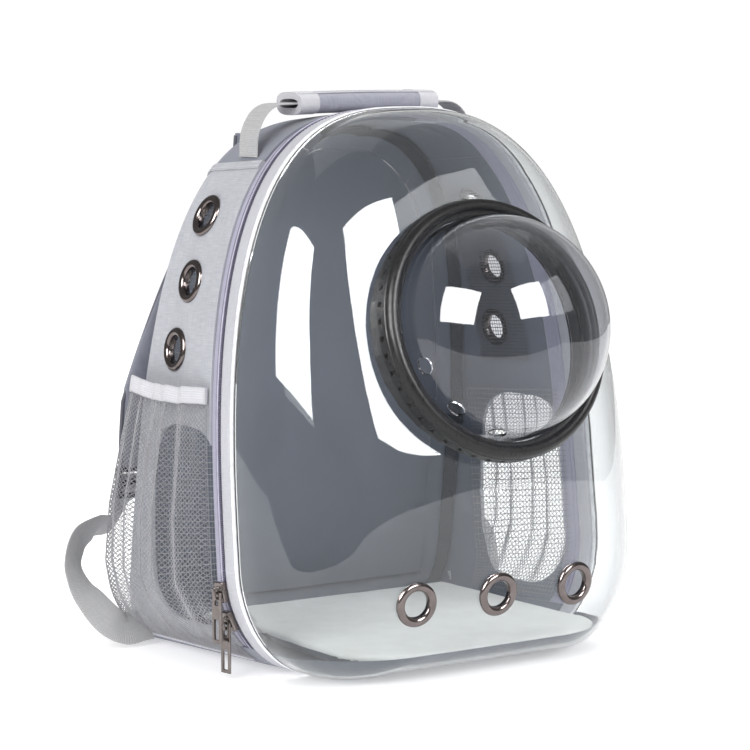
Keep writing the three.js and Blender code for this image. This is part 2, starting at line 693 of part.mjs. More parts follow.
const ROUND_SIDES = 30;
const shellHole = turned([[0, -60], [bubble.hole, -60], [bubble.hole, 40], [0, 40]], ROUND_SIDES);
const frontSeats = frontEyelets.map(({ across }) => {
  const origin = new THREE.Vector3(across, -3 * shell.depth, frontEyeletHeight);
  return seatOn(shellBlank, origin, new THREE.Vector3(0, 1, 0), eyelet.flange);
});
const frontHoles = frontSeats.map(({ point, normal }) => placed(holeTool, point, normal));
const clearShell = cut(shellBlank, placed(shellHole, bubbleCentre, bubbleAxis), ...frontHoles);
add("clear_shell", clearShell, CLEAR, 0.05);
frontEyelets.forEach(({ name }, i) => {
  const { point, normal } = frontSeats[i];
  add(`front_eyelet_${name}`, placed(eyeletThrough(shell.wall), point, normal), GUNMETAL, 0.3, 1);
});

// Collar of the bubble, fixed to the shell and cut to its curve
const flangeUnder = -bubble.bezelBack + 3.8;
const collarTop = flangeUnder - seamGap;
const neckFoot = -bubble.bezelBack - seamGap;
const collarBlank = turned(
  [
    [bubble.hole + 0.5, collarTop],
    [bubble.neckOuter, collarTop],
    [bubble.neckOuter, neckFoot],
    [bubble.collarOuter, neckFoot],
    [bubble.collarOuter, neckFoot - 40],
    [bubble.hole + 0.5, neckFoot - 40],
  ],
  ROUND_SIDES,
);
const shellCore = shellSkin(seamGap, -60);
add("bubble_collar", cut(placed(collarBlank, bubbleCentre, bubbleAxis), shellCore), BLACK, 0.5);

// Dome and bezel, turned about the bubble's axis
const DOME_STEPS = 6;
const domeArc = (wall) =>
  Array.from({ length: DOME_STEPS + 1 }, (_, i) => {
    const a = (i / DOME_STEPS) * (Math.PI / 2);
    return [Math.sin(a) * (bubble.domeRadius - wall), 2 + Math.cos(a) * (bubble.domeRise - wall)];
  });
const flangeTop = flangeUnder + bubble.flangeWall;
const domeProfile = [
  ...domeArc(0),
  [bubble.domeRadius, flangeTop],
  [bubble.flange, flangeTop],
  [bubble.flange, flangeUnder],
  [bubble.domeRadius - bubble.domeWall, flangeUnder],
  ...domeArc(bubble.domeWall).reverse(),
];
domeProfile[0][0] = 0;
domeProfile.at(-1)[0] = 0;
const ventTool = turned([[0, -12], [vents.radius, -12], [vents.radius, 12], [0, 12]], 12);
const ventCuts = vents.angles.map((degrees) => {
  const a = THREE.MathUtils.degToRad(degrees);
  const lift = Math.asin((vents.rise - 2) / bubble.domeRise);
  const direction = new THREE.Vector3(Math.cos(a) * Math.cos(lift), Math.sin(a) * Math.cos(lift), Math.sin(lift));
  const place = new THREE.Vector3(Math.cos(a), Math.sin(a), 0).multiplyScalar(bubble.domeRadius * Math.cos(lift));
  place.z = vents.rise;
  return placed(ventTool, place, direction);
});
const dome = cut(turned(domeProfile, ROUND_SIDES), ...ventCuts);

const lipInner = bubble.domeRadius + 1;
const bezelProfile = [
  [lipInner, flangeTop + seamGap],
  [lipInner, 2.4],
  [lipInner + 3.5, 2.8],
  [bubble.bezelOuter - 5.5, 6],
  [bubble.bezelOuter - 1.2, 3.4],
  [bubble.bezelOuter - 0.6, 0.4],
  [bubble.bezelOuter, 0],
  [bubble.bezelOuter, -bubble.bezelBack],
  [bubble.neckOuter + bubble.turnClear, -bubble.bezelBack],
  [bubble.neckOuter + bubble.turnClear, flangeTop + seamGap],
];
const bezelBlank = turned(bezelProfile, ROUND_SIDES);
const notch = new THREE.BoxGeometry(2 * bubble.notchDepth, bubble.notchWidth, bubble.bezelBack * 0.6);
let notchCuts = solid(notch.clone().translate(bubble.bezelOuter, 0, -bubble.bezelBack * 0.55));
for (let i = 1; i < bubble.notches; i++) {
  const tool = notch.clone().translate(bubble.bezelOuter, 0, -bubble.bezelBack * 0.55);
  notchCuts = notchCuts.add(solid(tool.rotateZ((i / bubble.notches) * Math.PI * 2)));
}
const bezel = geometryOf(solid(bezelBlank).subtract(notchCuts));
const bubbleGroup = new THREE.Group();
bubbleGroup.position.copy(bubbleCentre);
bubbleGroup.rotation.x = Math.PI / 2 - bubbleTilt;
group.add(bubbleGroup);
add("bubble_dome", dome, CLEAR, 0.05, 0, bubbleGroup);
add("bubble_bezel", bezel, BLACK, 0.35, 0, bubbleGroup);

// Floor mat: a thick pad whose sides slope in to clear the body's round lower corners
const matRear = backY(mat.top) - rearRound - 2;
function matOutline(shrink) {
  const points = [];
  const halfWidth = mat.half - shrink;
  const length = matRear - mat.front - 2 * shrink;
  const radius = Math.max(4, mat.cornerRound - shrink);
  const rearRadius = 14;
  const corners = [
    { x: 1, y: 1, r: rearRadius, start: 0 },
    { x: -1, y: 1, r: rearRadius, start: 90 },
    { x: -1, y: -1, r: radius, start: 180 },
    { x: 1, y: -1, r: radius, start: 270 },
  ];
  for (const { x, y, r, start } of corners) {
    const cx = x * (halfWidth - r) + mat.shift;
    const cy = (mat.front + matRear) / 2 + y * (length / 2 - r);
    for (let i = 0; i <= 5; i++) {
      const a = THREE.MathUtils.degToRad(start + i * 18);
      points.push(new THREE.Vector2(cx + r * Math.cos(a), cy + r * Math.sin(a)));
    }
  }
  return points;
}
const matRows = [
  { shrink: mat.slope, z: padWall + mat.lift },
  { shrink: mat.slope * 0.4, z: padWall + mat.lift + 6 },
  { shrink: 0.6, z: mat.top - mat.edge },
  { shrink: 0, z: mat.top - mat.edge / 2 },
  { shrink: 1.6, z: mat.top - 0.4 },
  { shrink: mat.edge, z: mat.top },
].map(({ shrink, z }) => matOutline(shrink).map((p) => new THREE.Vector3(p.x, p.y, z)));
const cavityOut = -padWall - mat.lift;
const cavityRows = [0.9, 0.5, 0].map((share) =>
  ALL_STATIONS.map((u) => bodyPoint(u, share * (bodyDepth(u) - rearRound), cavityOut)),
);
const shellInside = moved(shellGrid, -shell.wall - mat.lift, true).slice(1);
const cavity = stacked([...cavityRows, ...shellInside]);
add("floor_mat", geometryOf(solid(stacked(matRows)).intersect(solid(cavity))), WHITE, 0.95);

// Flat strip along a path: each station has a centre, a direction of width, a width and a thickness
function strip(path) {
  const rows = path.map((station, i) => {
    const before = path[Math.max(0, i - 1)].centre;
    const after = path[Math.min(path.length - 1, i + 1)].centre;
    const along = after.clone().sub(before).normalize();
    const across = station.across.clone().addScaledVector(along, -station.across.dot(along)).normalize();
    const normal = new THREE.Vector3().crossVectors(along, across);
    const w = station.width / 2;
    const t = station.wall / 2;
    const edge = station.edge ?? 0;
    const corner = (a, b) => station.centre.clone().addScaledVector(across, a).addScaledVector(normal, b);
    if (!edge) return [corner(-w, -t), corner(w, -t), corner(w, t), corner(-w, t)];
    return [
      corner(edge - w, -t),
      corner(w - edge, -t),
      corner(w, 0),
      corner(w - edge, t),
      corner(edge - w, t),
      corner(-w, 0),
    ];
  });
  return stacked(rows);
}
function curve(points, steps) {
  const path = new THREE.CatmullRomCurve3(points, false, "centripetal");
  return Array.from({ length: steps + 1 }, (_, i) => path.getPoint(i / steps));
}

// Carry handle: webbing from seam to seam through a padded grip
const seamPoint = bodyPoint(gussetU, handle.behind, 0);
const topPoint = bodyPoint(1, handle.behind, 0);
const webRise = handle.wall / 2 + seamGap;
const gripHeight = topPoint.z + seamGap + handle.gripWall + handle.wall / 2;
const handleY = seamPoint.y;
const seamX = Math.abs(seamPoint.x);
const handlePoints = [
  new THREE.Vector3(1.5 - seamX, handleY, seamPoint.z + webRise + 2.4),
  new THREE.Vector3(3 - seamX, handleY, lerp(seamPoint.z, gripHeight, 0.5)),
  new THREE.Vector3(11 - seamX, handleY, lerp(seamPoint.z, gripHeight, 0.84)),
  new THREE.Vector3(-lerp(handle.gripHalf, seamX, 0.42), handleY, gripHeight - 1),
  new THREE.Vector3(-handle.gripHalf, handleY, gripHeight),
  new THREE.Vector3(0, handleY, gripHeight + 1),
];
const handlePath = [...handlePoints, ...handlePoints.slice(0, -1).map((p) => p.clone().setX(-p.x)).reverse()];
const acrossY = new THREE.Vector3(0, 1, 0);
const handleStations = (points, width, wall) =>
  points.map((centre) => ({ centre, across: acrossY, width, wall }));
const handleCurve = curve(handlePath, 22);
add("handle_webbing", strip(handleStations(handleCurve, handle.width, handle.wall)), WHITE, 0.85);

const gripCurve = handleCurve.filter((p) => Math.abs(p.x) <= handle.gripHalf);
const gripSection = (centre, growY, growZ) =>
  Array.from({ length: 8 }, (_, j) => {
    const a = (j / 8 + 1 / 16) * Math.PI * 2;
    const y = Math.sign(Math.cos(a)) * Math.abs(Math.cos(a)) ** 0.6 * growY;
    const z = Math.sign(Math.sin(a)) * Math.abs(Math.sin(a)) ** 0.6 * growZ;
    return centre.clone().add(new THREE.Vector3(0, y, z));
  });
const gripOuter = gripCurve.map((p) => gripSection(p, handle.gripWidth / 2, handle.gripWall + handle.wall / 2));
const gripInner = gripCurve.map((p) => gripSection(p, handle.width / 2 + 2, handle.wall / 2 + 1.6));
add("handle_grip", wallBetween(gripOuter, gripInner, { round: true }), SLATE, 0.9);

// Shoulder straps, lower webbing and ladder locks
const strapCentres = STRAP_PATH.map(
  ({ across, height, off }) => new THREE.Vector3(across, backY(height) + off, height),
);
const strapCurve = curve(strapCentres, 14);
const strapStations = strapCurve.map((centre, i) => {
  const share = i / (strapCurve.length - 1);
  const narrowing = clamp01((share - 0.8) / 0.2);
  return {
    centre,
    across: new THREE.Vector3(1, 0, 0),
    width: lerp(strap.width, strap.tip, narrowing),
    wall: lerp(strap.wall, 4, narrowing),
    edge: 4,
  };
});
const shoulderStrap = strip(strapStations);
const webCentres = WEB_PATH.map(({ x, y, z }) => new THREE.Vector3(x, y, z));
const webWidths = WEB_PATH.map(({ wx, wy, wz }) => new THREE.Vector3(wx, wy, wz));
const webCurve = curve(webCentres, 18);
const webAcross = curve(webWidths, 18);
const webStations = (width, wall) => webCurve.map((centre, i) => ({ centre, across: webAcross[i], width, wall }));
const pocketCutter = wallBetween(pocketGrid(pocket.edge + 2 * seamGap, 0.02), pocketGrid(-rearRound / 2, 0.02));
const baseCutter = bodyPanel(-baseU, baseU, tapeFront, 2 * seamGap, rearRound / 2);
const webbing = largest(cut(strip(webStations(lowerWeb.width, lowerWeb.wall)), pocketCutter, baseCutter));

// Ladder lock: a frame with two slots between the strap's tip and the webbing
const lockPlace = strapCentres.at(-1).clone().add(new THREE.Vector3(2, -1, -8));
const lockBody = new THREE.BoxGeometry(34, 5, 24).translate(lockPlace.x, lockPlace.y, lockPlace.z);
const slot = new THREE.BoxGeometry(27, 20, 6);
const lock = cut(
  lockBody,
  slot.clone().translate(lockPlace.x, lockPlace.y, lockPlace.z + 5.5),
  slot.clone().translate(lockPlace.x, lockPlace.y, lockPlace.z - 5.5),
  strip(webStations(lowerWeb.width + 0.8, lowerWeb.wall + 0.8)),
  strip(strapStations.map((s) => ({ ...s, width: s.width + 0.8, wall: s.wall + 0.8 }))),
);
for (const { side, sign } of SIDES) {
  const own = (geometry) => (sign > 0 ? geometry : mirrored(geometry));
  add(`shoulder_strap_${side}`, own(shoulderStrap), SLATE, 0.9);
  add(`strap_webbing_${side}`, own(webbing), WHITE, 0.85);
  add(`ladder_lock_${side}`, own(lock), BLACK, 0.4);
}

// Zip sliders on the coil at the lower left. Each has an arch, and its pull hangs with its top bar inside
// the arch, so that the arch's leg passes through the pull's eye.
const zipAlong = tapeMeet;
const archLength = slider.length * 0.6;
const archOpening = slider.arch - slider.archWall;
const sliderBody = new THREE.BoxGeometry(slider.length, slider.width, slider.body).translate(0, 0, slider.body / 2);
const sliderArch = new THREE.BoxGeometry(archLength, slider.archWidth, slider.arch + 1).translate(
  0,
  0,
  slider.body + slider.arch / 2 - 0.5,
);
const archHole = new THREE.BoxGeometry(archLength - 2 * slider.archWall, 2 * slider.archWidth, archOpening).translate(
  0,
  0,
  slider.body + archOpening / 2,
);
const sliderSolid = cut(join(sliderBody, sliderArch), archHole);
const pullBlank = new THREE.BoxGeometry(pull.wall, pull.width, pull.length).translate(
  0,
  0,
  pull.bar / 2 - pull.length / 2,
);
const eyeHole = new THREE.BoxGeometry(3 * pull.wall, pull.eyeWidth, pull.eye).translate(
  0,
  0,
  -pull.bar / 2 - pull.eye / 2,
);
const tailHole = new THREE.BoxGeometry(3 * pull.wall, pullWindow.width, pullWindow.length).translate(
  0,
  0,
  pull.bar / 2 - pull.length + pullWindow.length / 2 + (pull.width - pullWindow.width) / 2,
);
const pullSolid = cut(pullBlank, eyeHole, tailHole);
slider.heights.forEach((height, i) => {
  const u = 2 - bodyU(height, zipAlong);
  const foot = bodyPoint(u, zipAlong, zipper.coilProud + seamGap);
  const above = bodyPoint(u - 0.01, zipAlong, zipper.coilProud);
  const up = above.sub(bodyPoint(u + 0.01, zipAlong, zipper.coilProud)).normalize();
  const out = new THREE.Vector3(up.z > 0 ? -up.z : up.z, 0, up.x).normalize();
  if (out.x > 0) out.negate();
  const rearwards = new THREE.Vector3().crossVectors(out, up);
  const frame = new THREE.Matrix4().makeBasis(up, rearwards, out).setPosition(foot);
  add(`zip_slider_${i + 1}`, sliderSolid.clone().applyMatrix4(frame), GUNMETAL, 0.3, 1);

  const hinge = new THREE.Group();
  hinge.position.copy(foot).addScaledVector(out, slider.body + archOpening / 2);
  hinge.rotation.z = pull.turn;
  group.add(hinge);
  add(`zip_pull_${i + 1}`, pullSolid.clone(), GUNMETAL, 0.3, 1, hinge);
});

// The origin is under the middle of everything, on the surface that the pack stands on
const box = new THREE.Box3().setFromObject(group, true);
const middle = box.getCenter(new THREE.Vector3());
group.position.set(-middle.x, -middle.y, -box.min.z);

export default group;
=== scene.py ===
"""Bubble pet carrier backpack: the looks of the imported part, in metres, in the part's own frame."""
import json
import math

import bpy
import numpy as np
from mathutils import Matrix, Vector, noise


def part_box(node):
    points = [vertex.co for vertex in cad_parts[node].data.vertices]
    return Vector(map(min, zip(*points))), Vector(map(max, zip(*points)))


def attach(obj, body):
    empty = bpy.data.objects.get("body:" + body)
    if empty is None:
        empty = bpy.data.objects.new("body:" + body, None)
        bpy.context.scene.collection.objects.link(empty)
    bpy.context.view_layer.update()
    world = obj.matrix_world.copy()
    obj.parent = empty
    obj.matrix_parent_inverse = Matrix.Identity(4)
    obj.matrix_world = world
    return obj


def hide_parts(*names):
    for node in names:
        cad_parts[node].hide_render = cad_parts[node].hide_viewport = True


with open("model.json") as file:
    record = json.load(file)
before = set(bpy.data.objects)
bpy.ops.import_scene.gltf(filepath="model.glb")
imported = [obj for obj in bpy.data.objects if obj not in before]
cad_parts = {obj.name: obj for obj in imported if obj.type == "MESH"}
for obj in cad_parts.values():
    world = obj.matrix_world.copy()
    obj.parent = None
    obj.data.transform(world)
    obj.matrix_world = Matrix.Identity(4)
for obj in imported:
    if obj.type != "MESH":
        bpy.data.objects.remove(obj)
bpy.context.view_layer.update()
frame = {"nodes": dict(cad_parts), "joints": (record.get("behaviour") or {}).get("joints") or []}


# ---------------------------------------- studio
# A long lens a little above the pack, on a plain white table under large soft lights, as for a
# catalogue picture. The tall lights stand where the bright strips on the shell come from.
SHELL_REACH, APEX_HEIGHT, RIM_LEAN = 0.108, 0.143, 0.09
rim_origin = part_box("clear_shell")[0].y + SHELL_REACH - APEX_HEIGHT * math.tan(RIM_LEAN)
camera_place = Vector((-1.2944, -1.7780 + rim_origin, 0.4643))
camera_aim = Vector((-0.01769, 0.04942 + rim_origin, 0.21012))
bpy.ops.object.select_all(action="DESELECT")
bpy.ops.object.camera_add(location=camera_place)
camera = bpy.context.object
camera.data.lens = 143.24
camera.data.sensor_width = 36
turned_to = (camera_aim - camera_place).to_track_quat("-Z", "Y").to_matrix()
camera.rotation_euler = (turned_to @ Matrix.Rotation(math.radians(-0.17), 3, "Z")).to_euler()
bpy.context.scene.camera = camera

bpy.ops.mesh.primitive_grid_add(x_subdivisions=8, y_subdivisions=8, size=4.0)
table = bpy.context.object
table.name = table.data.name = "table"
table.data.transform(Matrix.Translation((0.70, 0.96, 0)) @ Matrix.Rotation(-0.629, 4, "Z"))
table_finish = bpy.data.materials.new("white table")
table_finish.use_nodes = True
table_shader = table_finish.node_tree.nodes["Principled BSDF"]
table_shader.inputs["Base Color"].default_value = (0.90, 0.90, 0.905, 1)
table_shader.inputs["Roughness"].default_value = 0.8
table_shader.inputs["Emission Color"].default_value = (1, 1, 1, 1)
table_shader.inputs["Emission Strength"].default_value = 0.4
table.data.materials.append(table_finish)

SOFTBOXES = [
    # round and up are degrees from the pack's front; gloss lights show only in polished surfaces
    {"name": "strip_left", "round": -72, "up": 27, "away": 2.5, "size": (1.7, 1.45), "power": 130,
     "gloss": True},
    {"name": "strip_front", "round": 6, "up": 30, "away": 2.5, "size": (1.25, 1.3), "power": 90, "gloss": True},
    {"name": "fill_left", "round": -67, "up": 26, "away": 3.1, "size": (1.6, 1.8), "power": 42, "gloss": False},
    {"name": "fill_right", "round": 38, "up": 28, "away": 3.4, "size": (1.6, 1.6), "power": 50, "gloss": False},
    {"name": "overhead", "round": 150, "up": 80, "away": 2.5, "size": (2.4, 2.4), "power": 20, "gloss": False},
]
for softbox in SOFTBOXES:
    around, above = math.radians(softbox["round"]), math.radians(softbox["up"])
    towards = Vector((math.sin(around) * math.cos(above), -math.cos(around) * math.cos(above), math.sin(above)))
    bpy.ops.object.light_add(type="AREA", location=towards * softbox["away"] + Vector((0, 0, 0.22)))
    light = bpy.context.object
    light.name = softbox["name"]
    light.data.shape = "RECTANGLE"
    light.data.size, light.data.size_y = softbox["size"]
    light.data.energy = softbox["power"]
    light.rotation_euler = (-towards).to_track_quat("-Z", "Y").to_euler()
    light.visible_camera = False
    light.visible_diffuse = not softbox["gloss"]
    light.visible_glossy = softbox["gloss"]

world = bpy.data.worlds.new("white room")
bpy.context.scene.world = world
world.use_nodes = True
sky = world.node_tree
background = sky.nodes["Background"]
background.inputs["Color"].default_value = (1, 1, 1, 1)
seen = sky.nodes.new("ShaderNodeLightPath")
straight = sky.nodes.new("ShaderNodeMath")
straight.operation = "MAXIMUM"
sky.links.new(seen.outputs["Is Camera Ray"], straight.inputs[0])
sky.links.new(seen.outputs["Is Transmission Ray"], straight.inputs[1])
mirrored = sky.nodes.new("ShaderNodeMapRange")
mirrored.inputs["To Min"].default_value = 0.62
mirrored.inputs["To Max"].default_value = 0.24
sky.links.new(seen.outputs["Is Glossy Ray"], mirrored.inputs["Value"])
brightness = sky.nodes.new("ShaderNodeMapRange")
sky.links.new(mirrored.outputs["Result"], brightness.inputs["To Min"])
brightness.inputs["To Max"].default_value = 1.02
sky.links.new(straight.outputs[0], brightness.inputs["Value"])
sky.links.new(brightness.outputs["Result"], background.inputs["Strength"])
bpy.context.scene.view_settings.view_transform = "Standard"


# ---------------------------------------- base panel
# The foot of the pack: a slate polyester panel lined with the same cloth. It is cut as one strip
# that turns up at both sides and runs round the rear corner to the back.
MM = 0.001
# outlines in mm: half width, where the foot turns up, the widest height, the top, and an exponent
RIM = {"half": 165.7, "foot": 99, "corner": 82.8, "top": 410, "shoulder": 2.73}
REAR = {"half": 154, "foot": 130, "corner": 44, "top": 400, "shoulder": 3.1}
REAR_LEAN, REAR_DEPTH, REAR_ROUND = -0.13, 205, 22
CLOTH_WALL = 3
FOOT_SHARE, CORNER_SHARE = 0.14, 0.31
TAPE_FRONT, PANEL_FRONT = 21.0, 37.3
cabin_middle = Vector((0, 0.1 + rim_origin, 0.2))


def lerp(a, b, t):
    return a + (b - a) * t


def turning_point(low, high, steps, short):
    """Where short(x) stops being true between low and high, by halving."""
    for _ in range(steps):
        middle = (low + high) / 2
        if short(middle):
            low = middle
        else:
            high = middle
    return low


def outline(section, u, out=0.0):
    """Across and height of an outline, in mm. u is 0 at the middle of the foot and 1 at the top."""
    turn = u % 2
    side = -1 if turn > 1 else 1
    t = 2 - turn if turn > 1 else turn
    half, top = section["half"] + out, section["top"] + out
    bottom = section.get("bottom", 0) + max(0, -out)
    if t < FOOT_SHARE:
        return side * section["foot"] * t / FOOT_SHARE, bottom
    if t < CORNER_SHARE:
        a = (t - FOOT_SHARE) / (CORNER_SHARE - FOOT_SHARE) * math.pi / 2
        x = section["foot"] + (half - section["foot"]) * math.sin(a)
        return side * x, section["corner"] - (section["corner"] - bottom) * math.cos(a)
    a = (t - CORNER_SHARE) / (1 - CORNER_SHARE) * math.pi / 2
    power = 2 / section["shoulder"]
    x = half * max(0, math.cos(a)) ** power
    return side * x, section["corner"] + (top - section["corner"]) * math.sin(a) ** power


def rim_y(z):
    return z * math.tan(RIM_LEAN)


def rear_y(z):
    return REAR_DEPTH + z * math.tan(REAR_LEAN)


def body_depth(u):
    return rear_y(outline(REAR, u)[1]) - rim_y(outline(RIM, u)[1])


def placed(x, y, z):
    """A point of the pattern, in mm from the middle of the rim's foot, as a place in metres."""
    return Vector((x * MM, y * MM + rim_origin, z * MM))


def body_place(u, along, out=0.0):
    """Place on the cloth body: u round it, along mm behind the rim, out mm off its outside."""
    depth = body_depth(u)
    behind, grown = along, out
    if along > depth - REAR_ROUND:
        a = min(math.pi / 2, (along - depth + REAR_ROUND) / REAR_ROUND)
        behind = depth - REAR_ROUND + (REAR_ROUND + out) * math.sin(a)
        grown = (REAR_ROUND + out) * math.cos(a) - REAR_ROUND
    front, rear = outline(RIM, u, grown), outline(REAR, u, grown)
    share = behind / depth
    start = rim_y(outline(RIM, u)[1])
    return placed(lerp(front[0], rear[0], share), start + behind, lerp(front[1], rear[1], share))


def body_u(height, along):
    """u on the right side where the body is height mm above the table."""
    return turning_point(FOOT_SHARE, 1.0, 30, lambda u: body_place(u, along).z < height * MM)


ROUND_TABLE = np.linspace(-2, 4, 6001)
round_points = np.array([outline(RIM, u) for u in ROUND_TABLE])
round_lengths = np.concatenate([[0], np.hypot(*np.diff(round_points, axis=0).T).cumsum()])


def u_between(start, end, share):
    """u at a share of the way round the body, measured along the cloth."""
    lengths = np.interp((start, end), ROUND_TABLE, round_lengths)
    return float(np.interp(lerp(lengths[0], lengths[1], share), round_lengths, ROUND_TABLE))


def lay_sheet(name, columns, rows, place, materials, outward=True):
    """A grid laid where place(s, t) says, with its UV map in metres along the cloth."""
    bpy.ops.object.select_all(action="DESELECT")
    bpy.ops.mesh.primitive_grid_add(x_subdivisions=columns, y_subdivisions=rows, size=2)
    piece = bpy.context.object
    piece.name = piece.data.name = name
    mesh = piece.data
    flat = np.empty(len(mesh.vertices) * 3)
    mesh.vertices.foreach_get("co", flat)
    shares = np.round((flat.reshape(-1, 3)[:, :2] + 1) / 2, 6)
    laid = np.array([place(float(s), float(t)) for s, t in shares])
    mesh.vertices.foreach_set("co", laid.ravel())
    grid = laid.reshape(rows + 1, columns + 1, 3)
    width = np.linalg.norm(np.diff(grid, axis=1), axis=2).sum(axis=1).mean()
    height = np.linalg.norm(np.diff(grid, axis=0), axis=2).sum(axis=0).mean()
    uv = np.empty(len(mesh.loops) * 2)
    mesh.uv_layers[0].data.foreach_get("uv", uv)
    mesh.uv_layers[0].data.foreach_set("uv", (uv.reshape(-1, 2) * (width, height)).ravel())
    for material in materials:
        mesh.materials.append(material)
    mesh.update()
    facing = sum(p.normal.dot(p.center - cabin_middle) * p.area for p in mesh.polygons)
    if (facing < 0) == outward:
        mesh.flip_normals()
    return piece


def pick(piece):
    bpy.ops.object.select_all(action="DESELECT")
    bpy.context.view_layer.objects.active = piece
    piece.select_set(True)


def apply_modifier(piece, kind, **settings):
    pick(piece)
    modifier = piece.modifiers.new(kind.lower(), kind)
    for name, value in settings.items():
        setattr(modifier, name, value)
    bpy.ops.object.modifier_apply(modifier=modifier.name)


def tidy_mesh(piece, gap=1e-6, recalculate=False):
    pick(piece)
    bpy.ops.object.mode_set(mode="EDIT")
    bpy.ops.mesh.select_all(action="SELECT")
    bpy.ops.mesh.remove_doubles(threshold=gap)
    bpy.ops.mesh.delete_loose()
    if recalculate:
        bpy.ops.mesh.select_all(action="SELECT")
        bpy.ops.mesh.normals_make_consistent(inside=False)
    bpy.ops.object.mode_set(mode="OBJECT")


def smooth(piece, degrees=38):
    pick(piece)
    bpy.ops.object.shade_smooth_by_angle(angle=math.radians(degrees))


def settle(piece, replaces=(), body="root"):
    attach(piece, body)
    if replaces:
        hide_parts(*replaces)


def feed(tree, node, inputs):
    """Links sockets to a node's inputs, or sets them to plain values."""
    for socket, value in inputs.items():
        if isinstance(value, bpy.types.NodeSocket):
            tree.links.new(value, node.inputs[socket])
        else:
            node.inputs[socket].default_value = value


def shader_node(tree, kind, inputs=None, **settings):
    made = tree.nodes.new("ShaderNode" + kind)
    for name, value in settings.items():
        setattr(made, name, value)
    feed(tree, made, inputs or {})
    return made


def number(tree, operation, *values):
    return shader_node(tree, "Math", dict(enumerate(values)), operation=operation).outputs[0]


def scaled(tree, vector, factor):
    return shader_node(tree, "VectorMath", {0: vector, "Scale": factor}, operation="SCALE").outputs[0]


def stretched(tree, vector, factors):
    return shader_node(tree, "VectorMath", {0: vector, 1: factors}, operation="MULTIPLY").outputs[0]


def mapped(tree, value, low=0.0, high=1.0, to_low=0.0, to_high=1.0):
    """A value carried from one range to another and held at its ends."""
    inputs = {"Value": value, "From Min": low, "From Max": high, "To Min": to_low, "To Max": to_high}
    return shader_node(tree, "MapRange", inputs).outputs[0]


def clouds(tree, where, scale, detail, distortion=0.0):
    inputs = {"Vector": where, "Scale": scale, "Detail": detail, "Distortion": distortion}
    return shader_node(tree, "TexNoise", inputs).outputs


def bumped(tree, height, strength, distance, under=None):
    """A surface direction raised by a height, over another bump when one is given."""
    made = shader_node(tree, "Bump", {"Height": height, "Strength": strength, "Distance": distance})
    if under is not None:
        feed(tree, made, {"Normal": under})
    return made.outputs[0]


def new_group(name, inputs, outputs):
    group = bpy.data.node_groups.new(name, "ShaderNodeTree")
    for way, labels in (("INPUT", inputs), ("OUTPUT", outputs)):
        for label, kind in labels.items():
            group.interface.new_socket(label, in_out=way, socket_type="NodeSocket" + kind)
    return group, group.nodes.new("NodeGroupInput").outputs, group.nodes.new("NodeGroupOutput")


woven, enter, leave = new_group(
    "woven threads",
    {"Vector": "Vector", "Threads": "Float", "Colour": "Color", "Fleck Colour": "Color", "Fleck": "Float"},
    {"Colour": "Color", "Height": "Float", "Roughness": "Float"},
)
counted = scaled(woven, enter["Vector"], enter["Threads"])
ways = shader_node(woven, "SeparateXYZ", {0: counted}).outputs
crests = [number(woven, "SINE", number(woven, "MULTIPLY", ways[way], math.pi)) for way in ("X", "Y")]
over = mapped(woven, number(woven, "MULTIPLY", *crests), -1.0)
strands = []
for stretch in ((0.05, 0.9, 1), (0.9, 0.05, 1)):
    strands.append(clouds(woven, stretched(woven, counted, stretch), 1.0, 2.0)[0])
chosen = shader_node(woven, "Mix", {0: over, 2: strands[0], 3: strands[1]}, data_type="FLOAT").outputs[0]
fleck = mapped(woven, chosen, 0.36, 0.64)
share = number(woven, "MULTIPLY", fleck, enter["Fleck"])
yarns = {0: share, 6: enter["Colour"], 7: enter["Fleck Colour"]}
melange = shader_node(woven, "Mix", yarns, data_type="RGBA").outputs[2]
shade = mapped(woven, clouds(woven, enter["Vector"], 9.0, 3.0)[0], 0.3, 0.7, 0.93, 1.05)
feed(woven, leave, {"Colour": scaled(woven, melange, shade), "Height": over})
feed(woven, leave, {"Roughness": mapped(woven, fleck, to_low=0.78, to_high=0.95)})

creased, enter, leave = new_group("cloth creases", {"Vector": "Vector", "Size": "Float"}, {"Height": "Float"})
crease_scale = number(creased, "DIVIDE", 1.0, enter["Size"])
feed(creased, leave, {"Height": clouds(creased, enter["Vector"], crease_scale, 2.0, 0.6)[0]})


def principled(name):
    """A new material, with its tree, its shader and its texture coordinates."""
    material = bpy.data.materials.new(name)
    material.use_nodes = True
    tree = material.node_tree
    return material, tree, tree.nodes["Principled BSDF"], shader_node(tree, "TexCoord").outputs


def weave_of(tree, where, threads, colour, fleck_colour, fleck):
    inputs = {"Vector": where["UV"], "Threads": threads, "Fleck": fleck}
    inputs |= {"Colour": (*colour, 1), "Fleck Colour": (*fleck_colour, 1)}
    return shader_node(tree, "Group", inputs, node_tree=woven).outputs


def cloth(
    name, colour, fleck_colour, threads, fleck=0.5, crease=0.0, crease_size=0.05, relief=0.0002, sheen=0.2
):
    """A woven cloth: threads a metre on its UV map, flecks of a second yarn and soft creases."""
    material, tree, shader, where = principled(name)
    weave = weave_of(tree, where, threads, colour, fleck_colour, fleck)
    folds = shader_node(tree, "Group", {"Vector": where["Object"], "Size": crease_size}, node_tree=creased)
    normal = bumped(tree, weave["Height"], 0.8, relief, bumped(tree, folds.outputs[0], 1.0, crease))
    feed(tree, shader, {"Base Color": weave["Colour"], "Roughness": weave["Roughness"]})
    feed(tree, shader, {"Normal": normal, "Sheen Weight": sheen})
    return material


